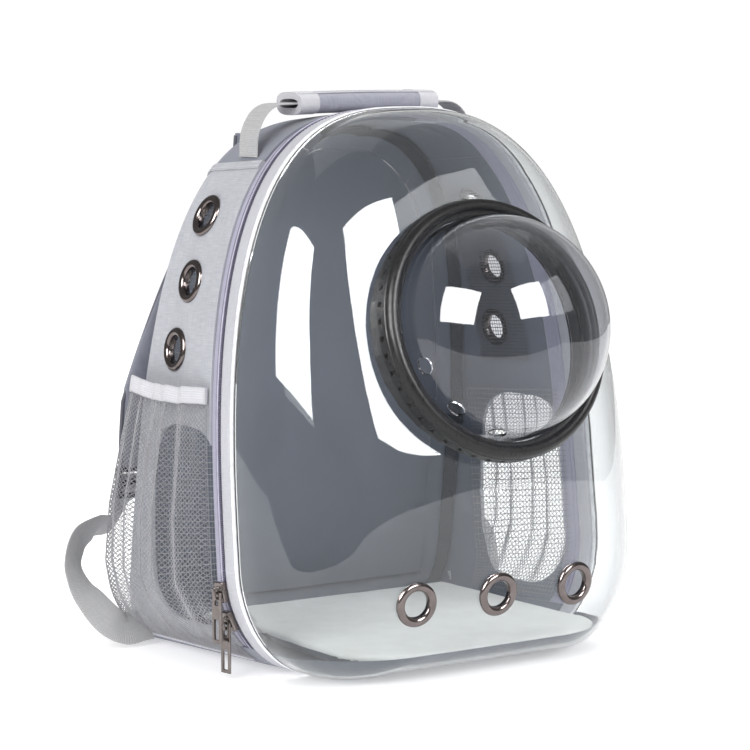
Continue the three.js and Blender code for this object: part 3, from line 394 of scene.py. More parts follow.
slate_cloth = cloth(
    "slate_cloth", (0.205, 0.215, 0.265), (0.30, 0.31, 0.36), 1500, fleck=0.35, crease=0.004, crease_size=0.06
)
lining_cloth = cloth(
    "lining_cloth", (0.150, 0.167, 0.208), (0.19, 0.205, 0.25), 1800,
    fleck=0.25, crease=0.010, crease_size=0.10, relief=0.00006,
)

base_u = body_u(19, PANEL_FRONT)
gusset_u = body_u(371, body_depth(0.8) / 2)
SEAM_U = 0.3 / 700


def cloth_run(u):
    """Millimetres of cloth from the rim back to the end of the rear corner."""
    return body_depth(u) - REAR_ROUND + REAR_ROUND * math.pi / 2


def panel_place(start, end, front, dent=0.0):
    """Places of a panel that runs straight back from front mm and then round the rear corner."""

    def place(s, t):
        u = u_between(start, end, s)
        along = lerp(front, cloth_run(u), t)
        flat = math.sin(math.pi * s) * math.sin(math.pi * t)
        sink = dent * flat * noise.noise(body_place(u, along) * 9)
        return body_place(u, along, sink)

    return place


def lined_panel(name, columns, rows, place, outside):
    panel = lay_sheet(name, columns, rows, place, [outside, lining_cloth])
    apply_modifier(panel, "SOLIDIFY", thickness=CLOTH_WALL * MM, offset=-1, material_offset=1)
    return panel


base_panel = lined_panel("base_cloth", 150, 60, panel_place(-base_u, base_u, TAPE_FRONT), slate_cloth)
smooth(base_panel)
settle(base_panel, ["base_panel"])


# ---------------------------------------- side panels
# Heather grey polyester sides, lined with slate cloth. A window behind the pocket and three
# eyelet holes are cut through both layers, and the top edge is folded and sewn with two rows.
side_cloth = cloth(
    "side_cloth", (0.36, 0.372, 0.41), (0.54, 0.55, 0.59), 1300, fleck=0.75, crease=0.003, crease_size=0.05
)
WINDOW = {"front": 30, "width": 106, "bottom": 30, "top": 178}
SIDES = {"left": -1, "right": 1}


def side_range(side, start, end):
    """The same stretch of u on the right side, or mirrored on the left."""
    return (start, end) if side == "right" else (2 - start, 2 - end)


def rounded(value, power):
    """A sine or cosine raised to a power with its sign kept: it squares a circle's corners."""
    return math.copysign(abs(value) ** power, value)


def round_angles(count):
    return np.linspace(0, 2 * math.pi, count, endpoint=False)


def prism(name, outline_points, direction, centre, reach):
    """A cutter: a cylinder whose ring is shaped to an outline, along a direction."""
    count = len(outline_points)
    bpy.ops.object.select_all(action="DESELECT")
    bpy.ops.mesh.primitive_cylinder_add(vertices=count, radius=1, depth=2)
    tool = bpy.context.object
    tool.name = tool.data.name = name
    turn = Vector((0, 0, 1)).rotation_difference(direction).to_matrix()
    for vertex in tool.data.vertices:
        a = math.atan2(vertex.co.x, vertex.co.y) / (2 * math.pi)
        x, y = outline_points[round(a * count) % count]
        vertex.co = centre + turn @ Vector((x, y, vertex.co.z * reach))
    return tool


def cut_out(piece, tools):
    for tool in tools:
        apply_modifier(piece, "BOOLEAN", operation="DIFFERENCE", object=tool, solver="EXACT")
        bpy.data.objects.remove(tool, do_unlink=True)


def ring_frame(node, crown):
    """Middle and outward direction of a round CAD fitting, whose top stands crown metres proud."""
    mesh = frame["nodes"][node].data
    points = np.empty(len(mesh.vertices) * 3)
    mesh.vertices.foreach_get("co", points)
    points = np.unique(np.round(points.reshape(-1, 3), 6), axis=0)
    middle = points.mean(0)
    axis = Vector(np.linalg.svd(points - middle)[2][2])
    if axis.dot(Vector(middle) - cabin_middle) < 0:
        axis.negate()
    top = max((Vector(p) - Vector(middle)).dot(axis) for p in points)
    return Vector(middle) + axis * (top - crown), axis


def disc(radius):
    """A round outline for a cutter, radius in mm."""
    return [(math.sin(a) * radius * MM, math.cos(a) * radius * MM) for a in round_angles(48)]


EYELET_CROWN, EYELET_HOLE = 2.7 * MM, 12
side_seats = {
    side: [ring_frame(f"side_eyelet_{side}_{i}", EYELET_CROWN) for i in (1, 2, 3)] for side in SIDES
}
for side, sign in SIDES.items():
    start, end = side_range(side, base_u + 2 * SEAM_U, gusset_u - SEAM_U)
    panel = lined_panel(f"side_cloth_{side}", 120, 70, panel_place(start, end, PANEL_FRONT, 1.6), side_cloth)
    window_outline = []
    for a in round_angles(72):
        across = rounded(math.sin(a), 0.6) * WINDOW["width"] / 2
        up = rounded(math.cos(a), 0.6) * (WINDOW["top"] - WINDOW["bottom"]) / 2
        window_outline.append((across * MM, up * MM))
    window_height = (WINDOW["top"] + WINDOW["bottom"]) / 2
    window_middle = placed(
        sign * 150, rim_y(window_height) + WINDOW["front"] + WINDOW["width"] / 2, window_height
    )
    turn = Matrix(((0, 0, 1), (1, 0, 0), (0, 1, 0)))
    tool = prism("window_cutter", window_outline, Vector((0, 0, 1)), Vector(), 0.05)
    for vertex in tool.data.vertices:
        vertex.co = window_middle + turn @ vertex.co
    tool.data.update()
    tools = [tool]
    for middle, axis in side_seats[side]:
        tools.append(prism("hole_cutter", disc(EYELET_HOLE), axis, middle, 0.02))
    cut_out(panel, tools)
    smooth(panel)
    settle(panel, [f"side_panel_{side}"])


# ---------------------------------------- window and eyelet nets
# Fine knitted net, let into the side behind the pocket and behind the side eyelets, so that air
# passes and paws do not. It is sewn to the lining.
def net_cloth(name, colour, pitch, strand):
    """A fine square net: open between strands by its alpha, on its UV map."""
    material, tree, shader, where = principled(name)
    cells = scaled(tree, where["UV"], 1 / pitch)
    wobble = clouds(tree, cells, 0.35, 1.0)
    pulled = {0: wobble["Color"], 1: (0.5, 0.5, 0.5), 2: cells}
    shifted = shader_node(tree, "VectorMath", pulled, operation="MULTIPLY_ADD").outputs[0]
    ways = shader_node(tree, "SeparateXYZ", {0: shifted}).outputs
    solid = [number(tree, "LESS_THAN", number(tree, "PINGPONG", ways[way], 1.0), strand) for way in ("X", "Y")]
    either = number(tree, "MAXIMUM", *solid)
    tint = mapped(tree, wobble[0], 0.3, 0.7, 0.8, 1.1)
    feed(tree, shader, {"Base Color": scaled(tree, colour, tint), "Alpha": either, "Roughness": 0.6})
    feed(tree, shader, {"Normal": bumped(tree, either, 0.6, 0.0003)})
    return material


window_mesh = net_cloth("window_mesh", (0.30, 0.305, 0.32), 0.0020, 0.13)
eyelet_mesh = net_cloth("eyelet_mesh", (0.12, 0.12, 0.13), 0.0014, 0.20)
NETS = [
    {"name": "window_net", "low": 21, "high": 187, "front": 29, "rear": 145, "out": -3.4, "net": window_mesh},
    {"name": "eyelet_net", "low": 209, "high": 353, "front": 58, "rear": 118, "out": -4.8, "net": eyelet_mesh},
]
for side in SIDES:
    for row in NETS:
        start, end = side_range(side, body_u(row["low"], PANEL_FRONT), body_u(row["high"], PANEL_FRONT))

        def place(s, t):
            u = u_between(start, end, s)
            return body_place(u, lerp(row["front"], row["rear"], t), row["out"])

        net = lay_sheet(f"{row['name']}_cloth_{side}", 60, 30, place, [row["net"]])
        smooth(net)
        settle(net, [f"{row['name']}_{side}"])


# ---------------------------------------- side eyelets
# Pressed steel rings, gunmetal plated, set through the sides in pairs of washer and barrel.
metal_wear, enter, leave = new_group(
    "handled metal", {"Vector": "Vector", "Colour": "Color", "Roughness": "Float"},
    {"Colour": "Color", "Roughness": "Float", "Height": "Float"},
)
smears = clouds(metal_wear, enter["Vector"], 180.0, 5.0)[0]
scratches = clouds(metal_wear, stretched(metal_wear, enter["Vector"], (900.0, 900.0, 120.0)), 1.0, 2.0)[0]
tone = mapped(metal_wear, smears, 0.3, 0.7, 0.85, 1.12)
blur = mapped(metal_wear, scratches, 0.3, 0.8, 0.7, 1.6)
feed(metal_wear, leave, {"Colour": scaled(metal_wear, enter["Colour"], tone), "Height": scratches})
feed(metal_wear, leave, {"Roughness": number(metal_wear, "MULTIPLY", blur, enter["Roughness"])})


def worn_finish(name, colour, roughness, metallic=0.0, relief=0.00002, coat=0.0):
    """Metal or moulded plastic with handling smears and fine scratches."""
    material, tree, shader, where = principled(name)
    inputs = {"Vector": where["Object"], "Colour": (*colour, 1), "Roughness": roughness}
    wear = shader_node(tree, "Group", inputs, node_tree=metal_wear).outputs
    feed(tree, shader, {"Base Color": wear["Colour"], "Roughness": wear["Roughness"], "Metallic": metallic})
    feed(tree, shader, {"Normal": bumped(tree, wear["Height"], 0.3, relief), "Coat Weight": coat})
    return material


eyelet_metal = worn_finish("eyelet_metal", (0.17, 0.145, 0.14), 0.16, metallic=1.0)


def spun(name, profile, steps, matrix, material):
    """A closed profile of (radius, height) in mm spun round an axis, then put in its place."""
    bpy.ops.object.select_all(action="DESELECT")
    bpy.ops.mesh.primitive_circle_add(vertices=len(profile), radius=1)
    piece = bpy.context.object
    piece.name = piece.data.name = name
    for vertex, (radius, height) in zip(piece.data.vertices, profile):
        vertex.co = (radius * MM, 0, height * MM)
    bpy.ops.object.mode_set(mode="EDIT")
    bpy.ops.mesh.select_all(action="SELECT")
    bpy.ops.mesh.spin(steps=steps, angle=2 * math.pi, center=(0, 0, 0), axis=(0, 0, 1))
    bpy.ops.object.mode_set(mode="OBJECT")
    tidy_mesh(piece, recalculate=True)
    piece.data.transform(matrix)
    piece.data.materials.append(material)
    return piece


def standing(middle, axis):
    return Matrix.Translation(middle) @ Vector((0, 0, 1)).rotation_difference(axis).to_matrix().to_4x4()


def eyelet_profile(wall):
    """Section of an eyelet: a rounded crown outside and a curled barrel through the wall."""
    crown = [
        (13.3 + 3.2 * math.cos(a), 0.35 + 2.35 * math.sin(a)) for a in np.linspace(0, math.pi, 15)
    ]
    inside = -wall - 1.2
    barrel = [(10.0, -0.4), (10.0, inside + 0.5), (10.5, inside)]
    washer = [(15.0, inside), (15.4, inside + 0.3), (15.0, inside + 0.7), (11.6, inside + 0.8), (11.6, 0.3)]
    return crown + barrel + washer


def fit_eyelet(name, wall, seat, node):
    ring = spun(name, eyelet_profile(wall), 72, standing(*seat), eyelet_metal)
    smooth(ring, 50)
    settle(ring, [node])


for side in SIDES:
    for i, seat in enumerate(side_seats[side], 1):
        fit_eyelet(f"eyelet_{side}_{i}", 3, seat, f"side_eyelet_{side}_{i}")


# ---------------------------------------- top gusset
# A darker slate strip over the top, between the two sides, sewn to them under the side's fold.
top_range = (gusset_u + SEAM_U, 2 - gusset_u - SEAM_U)
top_gusset = lined_panel("top_cloth", 130, 60, panel_place(*top_range, PANEL_FRONT, 1.2), slate_cloth)
smooth(top_gusset)
settle(top_gusset, ["top_gusset"])


# ---------------------------------------- back panel
# A flat board between two layers of slate cloth, sewn inside the rear corner all round.
def back_place(skin, out):
    def place(s, t):
        x, z = outline(REAR, u_between(0, 2, s), -(REAR_ROUND + 0.6))
        centre = 0.45 * REAR["top"]
        x, z = x * t, lerp(centre, z, t)
        swell = out * (1 - t**6) * (0.7 + 0.3 * noise.noise(Vector((x * 0.02, z * 0.02, skin))))
        return placed(x, rear_y(z) - skin + swell, z)

    return place


for skin, depth, swell, material, replaced in (
    ("outside", 0.0, 0.0, slate_cloth, ["back_panel"]),
    ("inside", 4.0, -2.5, lining_cloth, ()),
):
    board = back_place(depth, swell)
    back = lay_sheet(f"back_cloth_{skin}", 160, 40, board, [material], outward=skin == "outside")
    tidy_mesh(back, 1e-5)
    smooth(back)
    settle(back, replaced)


# ---------------------------------------- front binding
# White grosgrain tape folded over the body's front seam, outside and in, and sewn all round.
def ribbed(name, colour, ribs, relief=0.0002, along_v=False):
    """Ribbed tape or webbing: ribs a metre across its run, with slightly darker valleys of painted shade."""
    material, tree, shader, where = principled(name)
    run = shader_node(tree, "SeparateXYZ", {0: where["UV"]}).outputs["Y" if along_v else "X"]
    crest = mapped(tree, number(tree, "SINE", number(tree, "MULTIPLY", run, ribs * 2 * math.pi)), -1.0)
    weave = weave_of(tree, where, 2400, [c * 0.86 for c in colour], colour, 0.9)
    # painted shade: the base colour darkens into the valleys between the ribs
    rib_valley_shade = mapped(tree, crest, to_low=0.86, to_high=1.02)
    feed(tree, shader, {"Base Color": scaled(tree, weave["Colour"], rib_valley_shade), "Roughness": 0.75})
    feed(tree, shader, {"Normal": bumped(tree, crest, 0.8, relief), "Sheen Weight": 0.15})
    return material


binding_tape = ribbed("binding_tape", (0.60, 0.60, 0.65), 1100)


def band_section(front, rear, proud, wall, corner=0.7, count=32):
    """A closed, rounded section of (along, out) in mm between two distances behind the rim."""
    middle, half = (front + rear) / 2, (rear - front) / 2
    level = proud - wall / 2
    return [
        (middle + half * rounded(math.cos(a), corner), level + wall / 2 * rounded(math.sin(a), corner))
        for a in round_angles(count)
    ]


def point_of(section, t):
    return section[round(t * len(section)) % len(section)]


def finish_tube(piece, capped=True, degrees=50):
    """Joins the seam of a carried section, closes its ends and turns its faces outwards."""
    tidy_mesh(piece)
    if capped:
        pick(piece)
        bpy.ops.object.mode_set(mode="EDIT")
        bpy.ops.mesh.select_all(action="SELECT")
        bpy.ops.mesh.fill_holes(sides=0)
        bpy.ops.object.mode_set(mode="OBJECT")
    tidy_mesh(piece, recalculate=True)
    smooth(piece, degrees)


def swept(name, section, material, columns=420, start=0.0, end=2.0):
    """A closed section carried round the body's outline."""

    def place(s, t):
        along, out = point_of(section, t)
        return body_place(u_between(start, end, s), along, out)

    piece = lay_sheet(name, columns, len(section), place, [material])
    finish_tube(piece, capped=end - start < 2)
    return piece


BINDING_FRONT, BINDING_REAR = 7.7, 20.7
front_binding = swept(
    "front_binding_tape", band_section(BINDING_FRONT, BINDING_REAR, 1.0, 4.0, 0.45), binding_tape
)
settle(front_binding, ["front_binding"])


# ---------------------------------------- edge trim
# A glossy silver-clear extrusion that grips the shell's edge, with a black gasket line before it.
trim_plastic = worn_finish("trim_plastic", (0.86, 0.87, 0.90), 0.3, coat=0.2)
gasket_rubber = worn_finish("gasket_rubber", (0.012, 0.012, 0.014), 0.35)
edge_trim = swept("shell_edge_trim", band_section(1.9, 6.5, 1.6, 4.2, 0.8), trim_plastic)
settle(edge_trim, ["edge_trim"])
gasket = swept("shell_gasket", band_section(0.2, 1.7, 0.4, 3.0, 0.8, 16), gasket_rubber)
settle(gasket)


# ---------------------------------------- zipper
# Two lavender-grey woven tapes with a nylon coil between them, sewn between binding and sides, and
# closed all round as far as the base.
zip_tape = cloth("zip_tape", (0.36, 0.35, 0.46), (0.46, 0.45, 0.56), 1400, fleck=0.5, sheen=0.3)
# painted shade: the teeth are a darker lavender than the nylon, for the shaded grooves either side of the coil
coil_nylon = worn_finish("coil_nylon", (0.13, 0.12, 0.19), 0.35)
coil_core = worn_finish("coil_core", (0.50, 0.49, 0.60), 0.5)
zip_start, zip_end = base_u + 2 * SEAM_U, 2 - base_u - 2 * SEAM_U
for row, (front, rear, corner) in {"front": (TAPE_FRONT, 24.7, 0.4), "rear": (25.0, 37.0, 0.3)}.items():
    section = band_section(front, rear, -1.4, 1.2, corner, 20)
    tape = swept(f"zip_tape_{row}", section, zip_tape, 400, zip_start, zip_end)
    settle(tape, [f"zipper_tape_{row}"])


def strewn(name, unit, places, material):
    """One small piece copied to many places and joined, each copy by its own matrix."""
    mesh = unit.data
    points = np.empty(len(mesh.vertices) * 3)
    mesh.vertices.foreach_get("co", points)
    points = np.c_[points.reshape(-1, 3), np.ones(len(mesh.vertices))]
    matrices = np.array([np.array(m) for m in places])
    every = np.einsum("nij,vj->nvi", matrices, points)[:, :, :3].reshape(-1, 3)
    faces = [tuple(p.vertices) for p in mesh.polygons]
    count = len(mesh.vertices)
    joined = bpy.data.meshes.new(name)
    all_faces = [tuple(v + k * count for v in face) for k in range(len(places)) for face in faces]
    joined.from_pydata(every.tolist(), [], all_faces)
    joined.materials.append(material)
    piece = bpy.data.objects.new(name, joined)
    bpy.context.collection.objects.link(piece)
    bpy.data.objects.remove(unit, do_unlink=True)
    smooth(piece, 80)
    return piece


def bead(name, length, width, height):
    """A small smooth grain lying along X: the unit of coil teeth and stitches, in mm."""
    bpy.ops.object.select_all(action="DESELECT")
    bpy.ops.mesh.primitive_uv_sphere_add(segments=6, ring_count=4, radius=0.5)
    unit = bpy.context.object
    unit.name = unit.data.name = name
    unit.data.transform(Matrix.Rotation(math.pi / 2, 4, "Y"))
    unit.data.transform(Matrix.Diagonal((length * MM, width * MM, height * MM, 1)))
    return unit


def lying(place, ahead, outward):
    """Matrix with X along ahead and Z outward."""
    x = ahead.normalized()
    z = (outward - x * outward.dot(x)).normalized()
    y = z.cross(x)
    return Matrix.Translation(place) @ Matrix((x, y, z)).transposed().to_4x4()


zip_length = float(np.diff(np.interp((zip_start, zip_end), ROUND_TABLE, round_lengths))[0])
for row, (front, rear, shift) in {"front": (21.4, 25.2, 0.0), "rear": (24.8, 28.6, 0.5)}.items():
    count = int(zip_length / 1.35)
    teeth = []
    for i in range(count):
        u = u_between(zip_start, zip_end, (i + 0.5 + shift) / (count + 1))
        first, last = body_place(u, front, 0.4), body_place(u, rear, 0.4)
        outward = body_place(u, (front + rear) / 2, 5) - body_place(u, (front + rear) / 2, 0)
        teeth.append(lying((first + last) / 2, last - first, outward))
    coil = strewn(f"zip_coil_{row}", bead("tooth", 4.0, 0.85, 1.8), teeth, coil_nylon)
    settle(coil, ["zipper_coil"] if row == "front" else ())
core = swept("zip_coil_core", band_section(24.3, 25.7, 1.5, 1.6, 1.0, 10), coil_core, 400, zip_start, zip_end)
settle(core)


# ---------------------------------------- seams and thread
# Each side's top edge is folded over and sewn down in two rows, and the front binding in one. Inside,
# a tape runs over the seam round the back, coloured near black as painted shade for the shaded rear corner.
thread = worn_finish("thread", (0.56, 0.56, 0.60), 0.6)
# painted shade: the seam tape is near black to darken the shaded rear corner inside the cabin
seam_tape_painted_shade = ribbed("seam_tape_painted_shade", (0.030, 0.034, 0.045), 900)
fold_section = band_section(0.4, 13.4, 1.1, 1.0, 0.5, 24)
MM_ROUND = 1 / 700


def stitch_row(count, place):
    """Matrices of stitches laid end to end; place(share, out) is on the seam, out mm proud."""
    row = []
    for i in range(count):
        middle, ahead = place((i + 0.5) / count, 0), place((i + 0.6) / count, 0)
        row.append(lying(middle, ahead - middle, place((i + 0.5) / count, 3) - middle))
    return row


for side in SIDES:

    def fold_place(share, below, out):
        u = gusset_u - below * MM_ROUND
        along = lerp(PANEL_FRONT + 0.5, cloth_run(u) - 1, share)
        return body_place(u if side == "right" else 2 - u, along, out)

    def fold_sheet(s, t):
        below, out = point_of(fold_section, t)
        return fold_place(s, below, out)

    fold = lay_sheet(f"side_fold_{side}", 70, len(fold_section), fold_sheet, [side_cloth])
    finish_tube(fold)
    settle(fold)
    rows = [stitch_row(48, lambda share, out, d=d: fold_place(share, d, 1.15 + out)) for d in (3.5, 10.5)]
    stitches = strewn(f"side_stitches_{side}", bead("stitch", 2.7, 0.8, 0.7), rows[0] + rows[1], thread)
    settle(stitches)


def binding_seam(share, out):
    return body_place(u_between(0, 2, share), BINDING_REAR - 1.8, 1.05 + out)


binding_row = stitch_row(400, binding_seam)
binding_stitches = strewn("binding_stitches", bead("stitch", 2.4, 0.6, 0.5), binding_row, thread)
settle(binding_stitches)
corner_section = band_section(4, 19, -4.6, 1.4, 0.6, 20)


def corner_sheet(s, t):
    along, out = point_of(corner_section, t)
    u = u_between(0, 2, s)
    return body_place(u, body_depth(u) - REAR_ROUND + along, out)


# painted shade: this near-black tape darkens the rear corner of the cabin
corner_shade_tape = lay_sheet("cabin_seam_shade_tape", 240, len(corner_section), corner_sheet, [seam_tape_painted_shade])
finish_tube(corner_shade_tape, capped=False)
settle(corner_shade_tape)


# ---------------------------------------- clear shell
# The front of the cabin: one vacuum-moulded sheet of clear plastic, 2 mm thick, deepest low down,
# with holes for the bubble and for three eyelets.
SHELL_DEPTH, SHELL_WALL, SHELL_BULGE, BUBBLE_HOLE = 108, 2.0, 2.3, 84
# forward is a share of the depth, top, bottom and widest are shares of the rim's height, foot is a
# share of the half width, round is the shoulder's exponent
SHELL_ROWS = np.array(
    [
        # forward, top, bottom, widest, foot, round
        (0, 1, 0, 0.202, 0.597, 2.73),
        (0.11, 0.998, 0, 0.202, 0.597, 2.73),
        (0.28, 0.98, 0.003, 0.205, 0.59, 2.7),
        (0.426, 0.932, 0.01, 0.21, 0.57, 2.65),
        (0.537, 0.871, 0.02, 0.22, 0.54, 2.6),
        (0.639, 0.795, 0.036, 0.24, 0.5, 2.5),
        (0.722, 0.712, 0.067, 0.27, 0.45, 2.4),
        (0.778, 0.645, 0.137, 0.3, 0.4, 2.3),
        (0.852, 0.551, 0.207, 0.325, 0.35, 2.2),
        (0.944, 0.444, 0.276, 0.345, 0.3, 2.1),
        (1.0, 0.349, 0.349, 0.349, 0.3, 2.0),
    ]
)


def bend(a, b, m, n, t):
    """A smooth value from a to b that leaves with slope m and comes in with slope n."""
    return (
        (2 * t**3 - 3 * t**2 + 1) * a
        + (t**3 - 2 * t**2 + t) * m
        + (3 * t**2 - 2 * t**3) * b
        + (t**3 - t**2) * n
    )


def eased(table, q):
    """Smooth value of every column between the rows of a table, without overshoot."""
    i = min(int(q), len(table) - 2)
    slopes = np.diff(table, axis=0)

    def slope(k):
        if k == 0 or k == len(table) - 1:
            return slopes[min(k, len(slopes) - 1)]
        a, b = slopes[k - 1], slopes[k]
        return np.where(a * b > 0, 2 * a * b / np.where(a + b == 0, 1, a + b), 0)

    return bend(table[i], table[i + 1], slope(i), slope(i + 1), q - i)


def shell_place(u, q):
    forward, top, bottom, widest, foot, shoulder = eased(SHELL_ROWS, q)
    half = RIM["half"] * max(0, 1 - min(1, forward) ** SHELL_BULGE) ** (1 / SHELL_BULGE)
    section = {
        "half": half,
        "foot": foot * half,
        "corner": widest * RIM["top"],
        "top": top * RIM["top"],
        "bottom": bottom * RIM["top"],
        "shoulder": shoulder,
    }
    x, z = outline(section, u)
    return placed(x, rim_y(z) - SHELL_DEPTH * forward, z)


def clear_plastic(name, tint, ior, ripple, haze, edge):
    """Clear moulded sheet that lets the studio light through, faintly rippled; its tint darkens at a slant,
    partly for the longer way through the sheet and partly as painted shade for its dark edges.
    """
    material, tree, shader, where = principled(name)
    waves = clouds(tree, where["Object"], 7.0, 1.0)[0]
    marks = clouds(tree, where["Object"], 60.0, 4.0)[0]
    slant = shader_node(tree, "LayerWeight", {"Blend": 0.5}).outputs["Facing"]
    # painted shade: the tint darkens towards a slant, partly for the longer way through the sheet and partly to
    # darken the sheet's edges
    depth = mapped(tree, slant, 0.45, 1.0, 1.0, edge)
    feed(tree, shader, {"Base Color": scaled(tree, tint, depth), "IOR": ior, "Transmission Weight": 1.0})
    feed(tree, shader, {"Roughness": mapped(tree, marks, 0.45, 0.8, 0.0, haze)})
    feed(tree, shader, {"Normal": bumped(tree, waves, 1.0, ripple)})
    path = shader_node(tree, "LightPath").outputs
    passing = number(tree, "MAXIMUM", path["Is Shadow Ray"], path["Is Diffuse Ray"])
    through = shader_node(tree, "BsdfTransparent", {"Color": (*tint, 1)}).outputs[0]
    mixed = shader_node(tree, "MixShader", {0: passing, 1: shader.outputs[0], 2: through}).outputs[0]
    feed(tree, tree.nodes["Material Output"], {"Surface": mixed})
    return material


shell_plastic = clear_plastic("shell_plastic", (0.90, 0.915, 0.92), 1.46, 0.0006, 0.05, 0.45)


def shell_sheet(s, t):
    return shell_place(u_between(0, 2, s), (len(SHELL_ROWS) - 1) * t)


clear_shell = lay_sheet("moulded_shell", 260, 110, shell_sheet, [shell_plastic])
tidy_mesh(clear_shell, 1e-5)
apply_modifier(clear_shell, "SOLIDIFY", thickness=SHELL_WALL * MM, offset=-1)
bubble_joint = next(j for j in frame["joints"] if j["name"] == "bubble_turn")
bubble_middle = Vector(bubble_joint["pos_m"])
bubble_axis = Vector(bubble_joint["axis"])
front_seats = {
    where: ring_frame(f"front_eyelet_{where}", EYELET_CROWN) for where in ("left", "centre", "right")
}
tools = [prism("bubble_cutter", disc(BUBBLE_HOLE), bubble_axis, bubble_middle, 0.06)]
for middle, axis in front_seats.values():
    tools.append(prism("hole_cutter", disc(EYELET_HOLE), axis, middle, 0.02))
cut_out(clear_shell, tools)
smooth(clear_shell, 30)
settle(clear_shell, ["clear_shell"])


# ---------------------------------------- front eyelets
# The same gunmetal rings as at the sides, set through the foot of the shell and left open.
for where, seat in front_seats.items():
    fit_eyelet(f"shell_eyelet_{where}", 2, seat, f"front_eyelet_{where}")


# ---------------------------------------- bubble collar
# A black moulded ring fixed in the shell's hole, on which the bubble turns.
black_plastic = worn_finish("black_plastic", (0.016, 0.016, 0.018), 0.42)
collar = frame["nodes"]["bubble_collar"]
collar.data.materials.clear()
collar.data.materials.append(black_plastic)


# ---------------------------------------- bubble dome and bezel
# A clear dome, thermoformed with a flange and three air holes, held by a satin black ring with a
# notched edge. Both turn together on the collar.
bubble_tilt = math.atan2(bubble_axis.z, -bubble_axis.y)
bubble_frame = Matrix.Translation(bubble_middle) @ Matrix.Rotation(math.pi / 2 - bubble_tilt, 4, "X")
DOME_RADIUS, DOME_RISE, DOME_FOOT, DOME_WALL, FLANGE_RADIUS = 82.5, 78.0, 2, 2.0, 88.0
VENT_LEVEL, VENT_HOLE = 12, 6.5
FLANGE_UNDER, FLANGE_TOP = -5.5, -3.3
dome_plastic = clear_plastic("dome_plastic", (0.62, 0.63, 0.66), 1.47, 0.0004, 0.03, 0.6)
outer_arc = [
    (math.sin(a) * DOME_RADIUS, DOME_FOOT + math.cos(a) * DOME_RISE) for a in np.linspace(0, math.pi / 2, 40)
]
inner_arc = [
    (math.sin(a) * (DOME_RADIUS - DOME_WALL), DOME_FOOT + math.cos(a) * (DOME_RISE - DOME_WALL))
    for a in np.linspace(math.pi / 2, 0, 40)
]
dome_profile = (
    outer_arc
    + [(DOME_RADIUS, FLANGE_TOP), (FLANGE_RADIUS, FLANGE_TOP), (FLANGE_RADIUS, FLANGE_UNDER)]
    + [(DOME_RADIUS - DOME_WALL, FLANGE_UNDER)]
    + inner_arc
)
dome = spun("clear_dome", dome_profile, 128, bubble_frame, dome_plastic)
vents = []
for degrees in (-162, -135, -108):
    a = math.radians(degrees)
    lift = math.asin((VENT_LEVEL - DOME_FOOT) / DOME_RISE)
    direction = Vector((math.cos(a) * math.cos(lift), math.sin(a) * math.cos(lift), math.sin(lift)))
    place = Vector((math.cos(a), math.sin(a), 0)) * DOME_RADIUS * math.cos(lift)
    place.z = VENT_LEVEL
    direction = bubble_frame.to_3x3() @ direction
    vents.append(prism("vent_cutter", disc(VENT_HOLE), direction, bubble_frame @ (place * MM), 0.01))
cut_out(dome, vents)
smooth(dome, 30)
settle(dome, ["bubble_dome"], "bubble")

bezel_plastic = worn_finish("bezel_plastic", (0.013, 0.013, 0.014), 0.34, relief=0.000004, coat=0.06)
bezel_plastic.node_tree.nodes["Principled BSDF"].inputs["Specular IOR Level"].default_value = 0.28
bezel_profile = [
    (83.5, -3.0), (83.5, 2.2), (84.0, 2.7), (86.4, 2.8), (87.0, 3.2), (87.6, 5.0), (88.6, 6.0),
    (90.2, 6.6), (92.0, 6.4), (94.0, 5.3), (95.3, 3.6), (95.8, 1.6), (96.0, 0.6), (96.6, 0.0),
    (96.6, -3.4), (96.6, -3.9), (96.6, -7.4), (96.6, -7.9), (96.6, -9.3), (90.1, -9.3), (90.1, -3.0),
]
NOTCHES, BEZEL_STEPS, BEZEL_RADIUS, NOTCH_FLOOR = 48, 480, 96.6, 95.2
bezel = spun("bezel_ring", bezel_profile, BEZEL_STEPS, Matrix(), bezel_plastic)
for vertex in bezel.data.vertices:
    step = round(math.atan2(vertex.co.y, vertex.co.x) / (2 * math.pi) * BEZEL_STEPS) % (BEZEL_STEPS // NOTCHES)
    on_rim = vertex.co.xy.length > (BEZEL_RADIUS - 0.2) * MM and -7.7 * MM < vertex.co.z < -3.6 * MM
    if on_rim and step in (0, 1):
        vertex.co.xy *= NOTCH_FLOOR / BEZEL_RADIUS
bezel.data.transform(bubble_frame)
smooth(bezel, 35)
settle(bezel, ["bubble_bezel"], "bubble")


# ---------------------------------------- side pockets
# Coarse diamond net gathered under a white elastic binding, piped with pale cord at the foot. The
# net is cut wider than the side, so it hangs in soft vertical folds.
POCKET = {"bottom": 8, "top": 196, "sag": 6, "bulge": 24, "mouth": 12, "edge": 2.6, "round": 0.8}
POCKET_EASE = {"front": 3.2, "rear": 6}
POCKET_FRONT = PANEL_FRONT + 1.5
# at and wide are shares of the pocket's width, deep is a share of its bulge
POCKET_FOLDS = (
    # at, deep, wide
    (0.10, 0.16, 0.05),
    (0.24, 0.42, 0.06),
    (0.40, 0.20, 0.05),
    (0.55, 0.36, 0.06),
    (0.70, 0.22, 0.05),
    (0.84, 0.28, 0.05),
)


def clamp(t):
    return min(1, max(0, t))


def pocket_top(across):
    return POCKET["top"] - POCKET["sag"] * (1 - (2 * across - 1) ** 2)


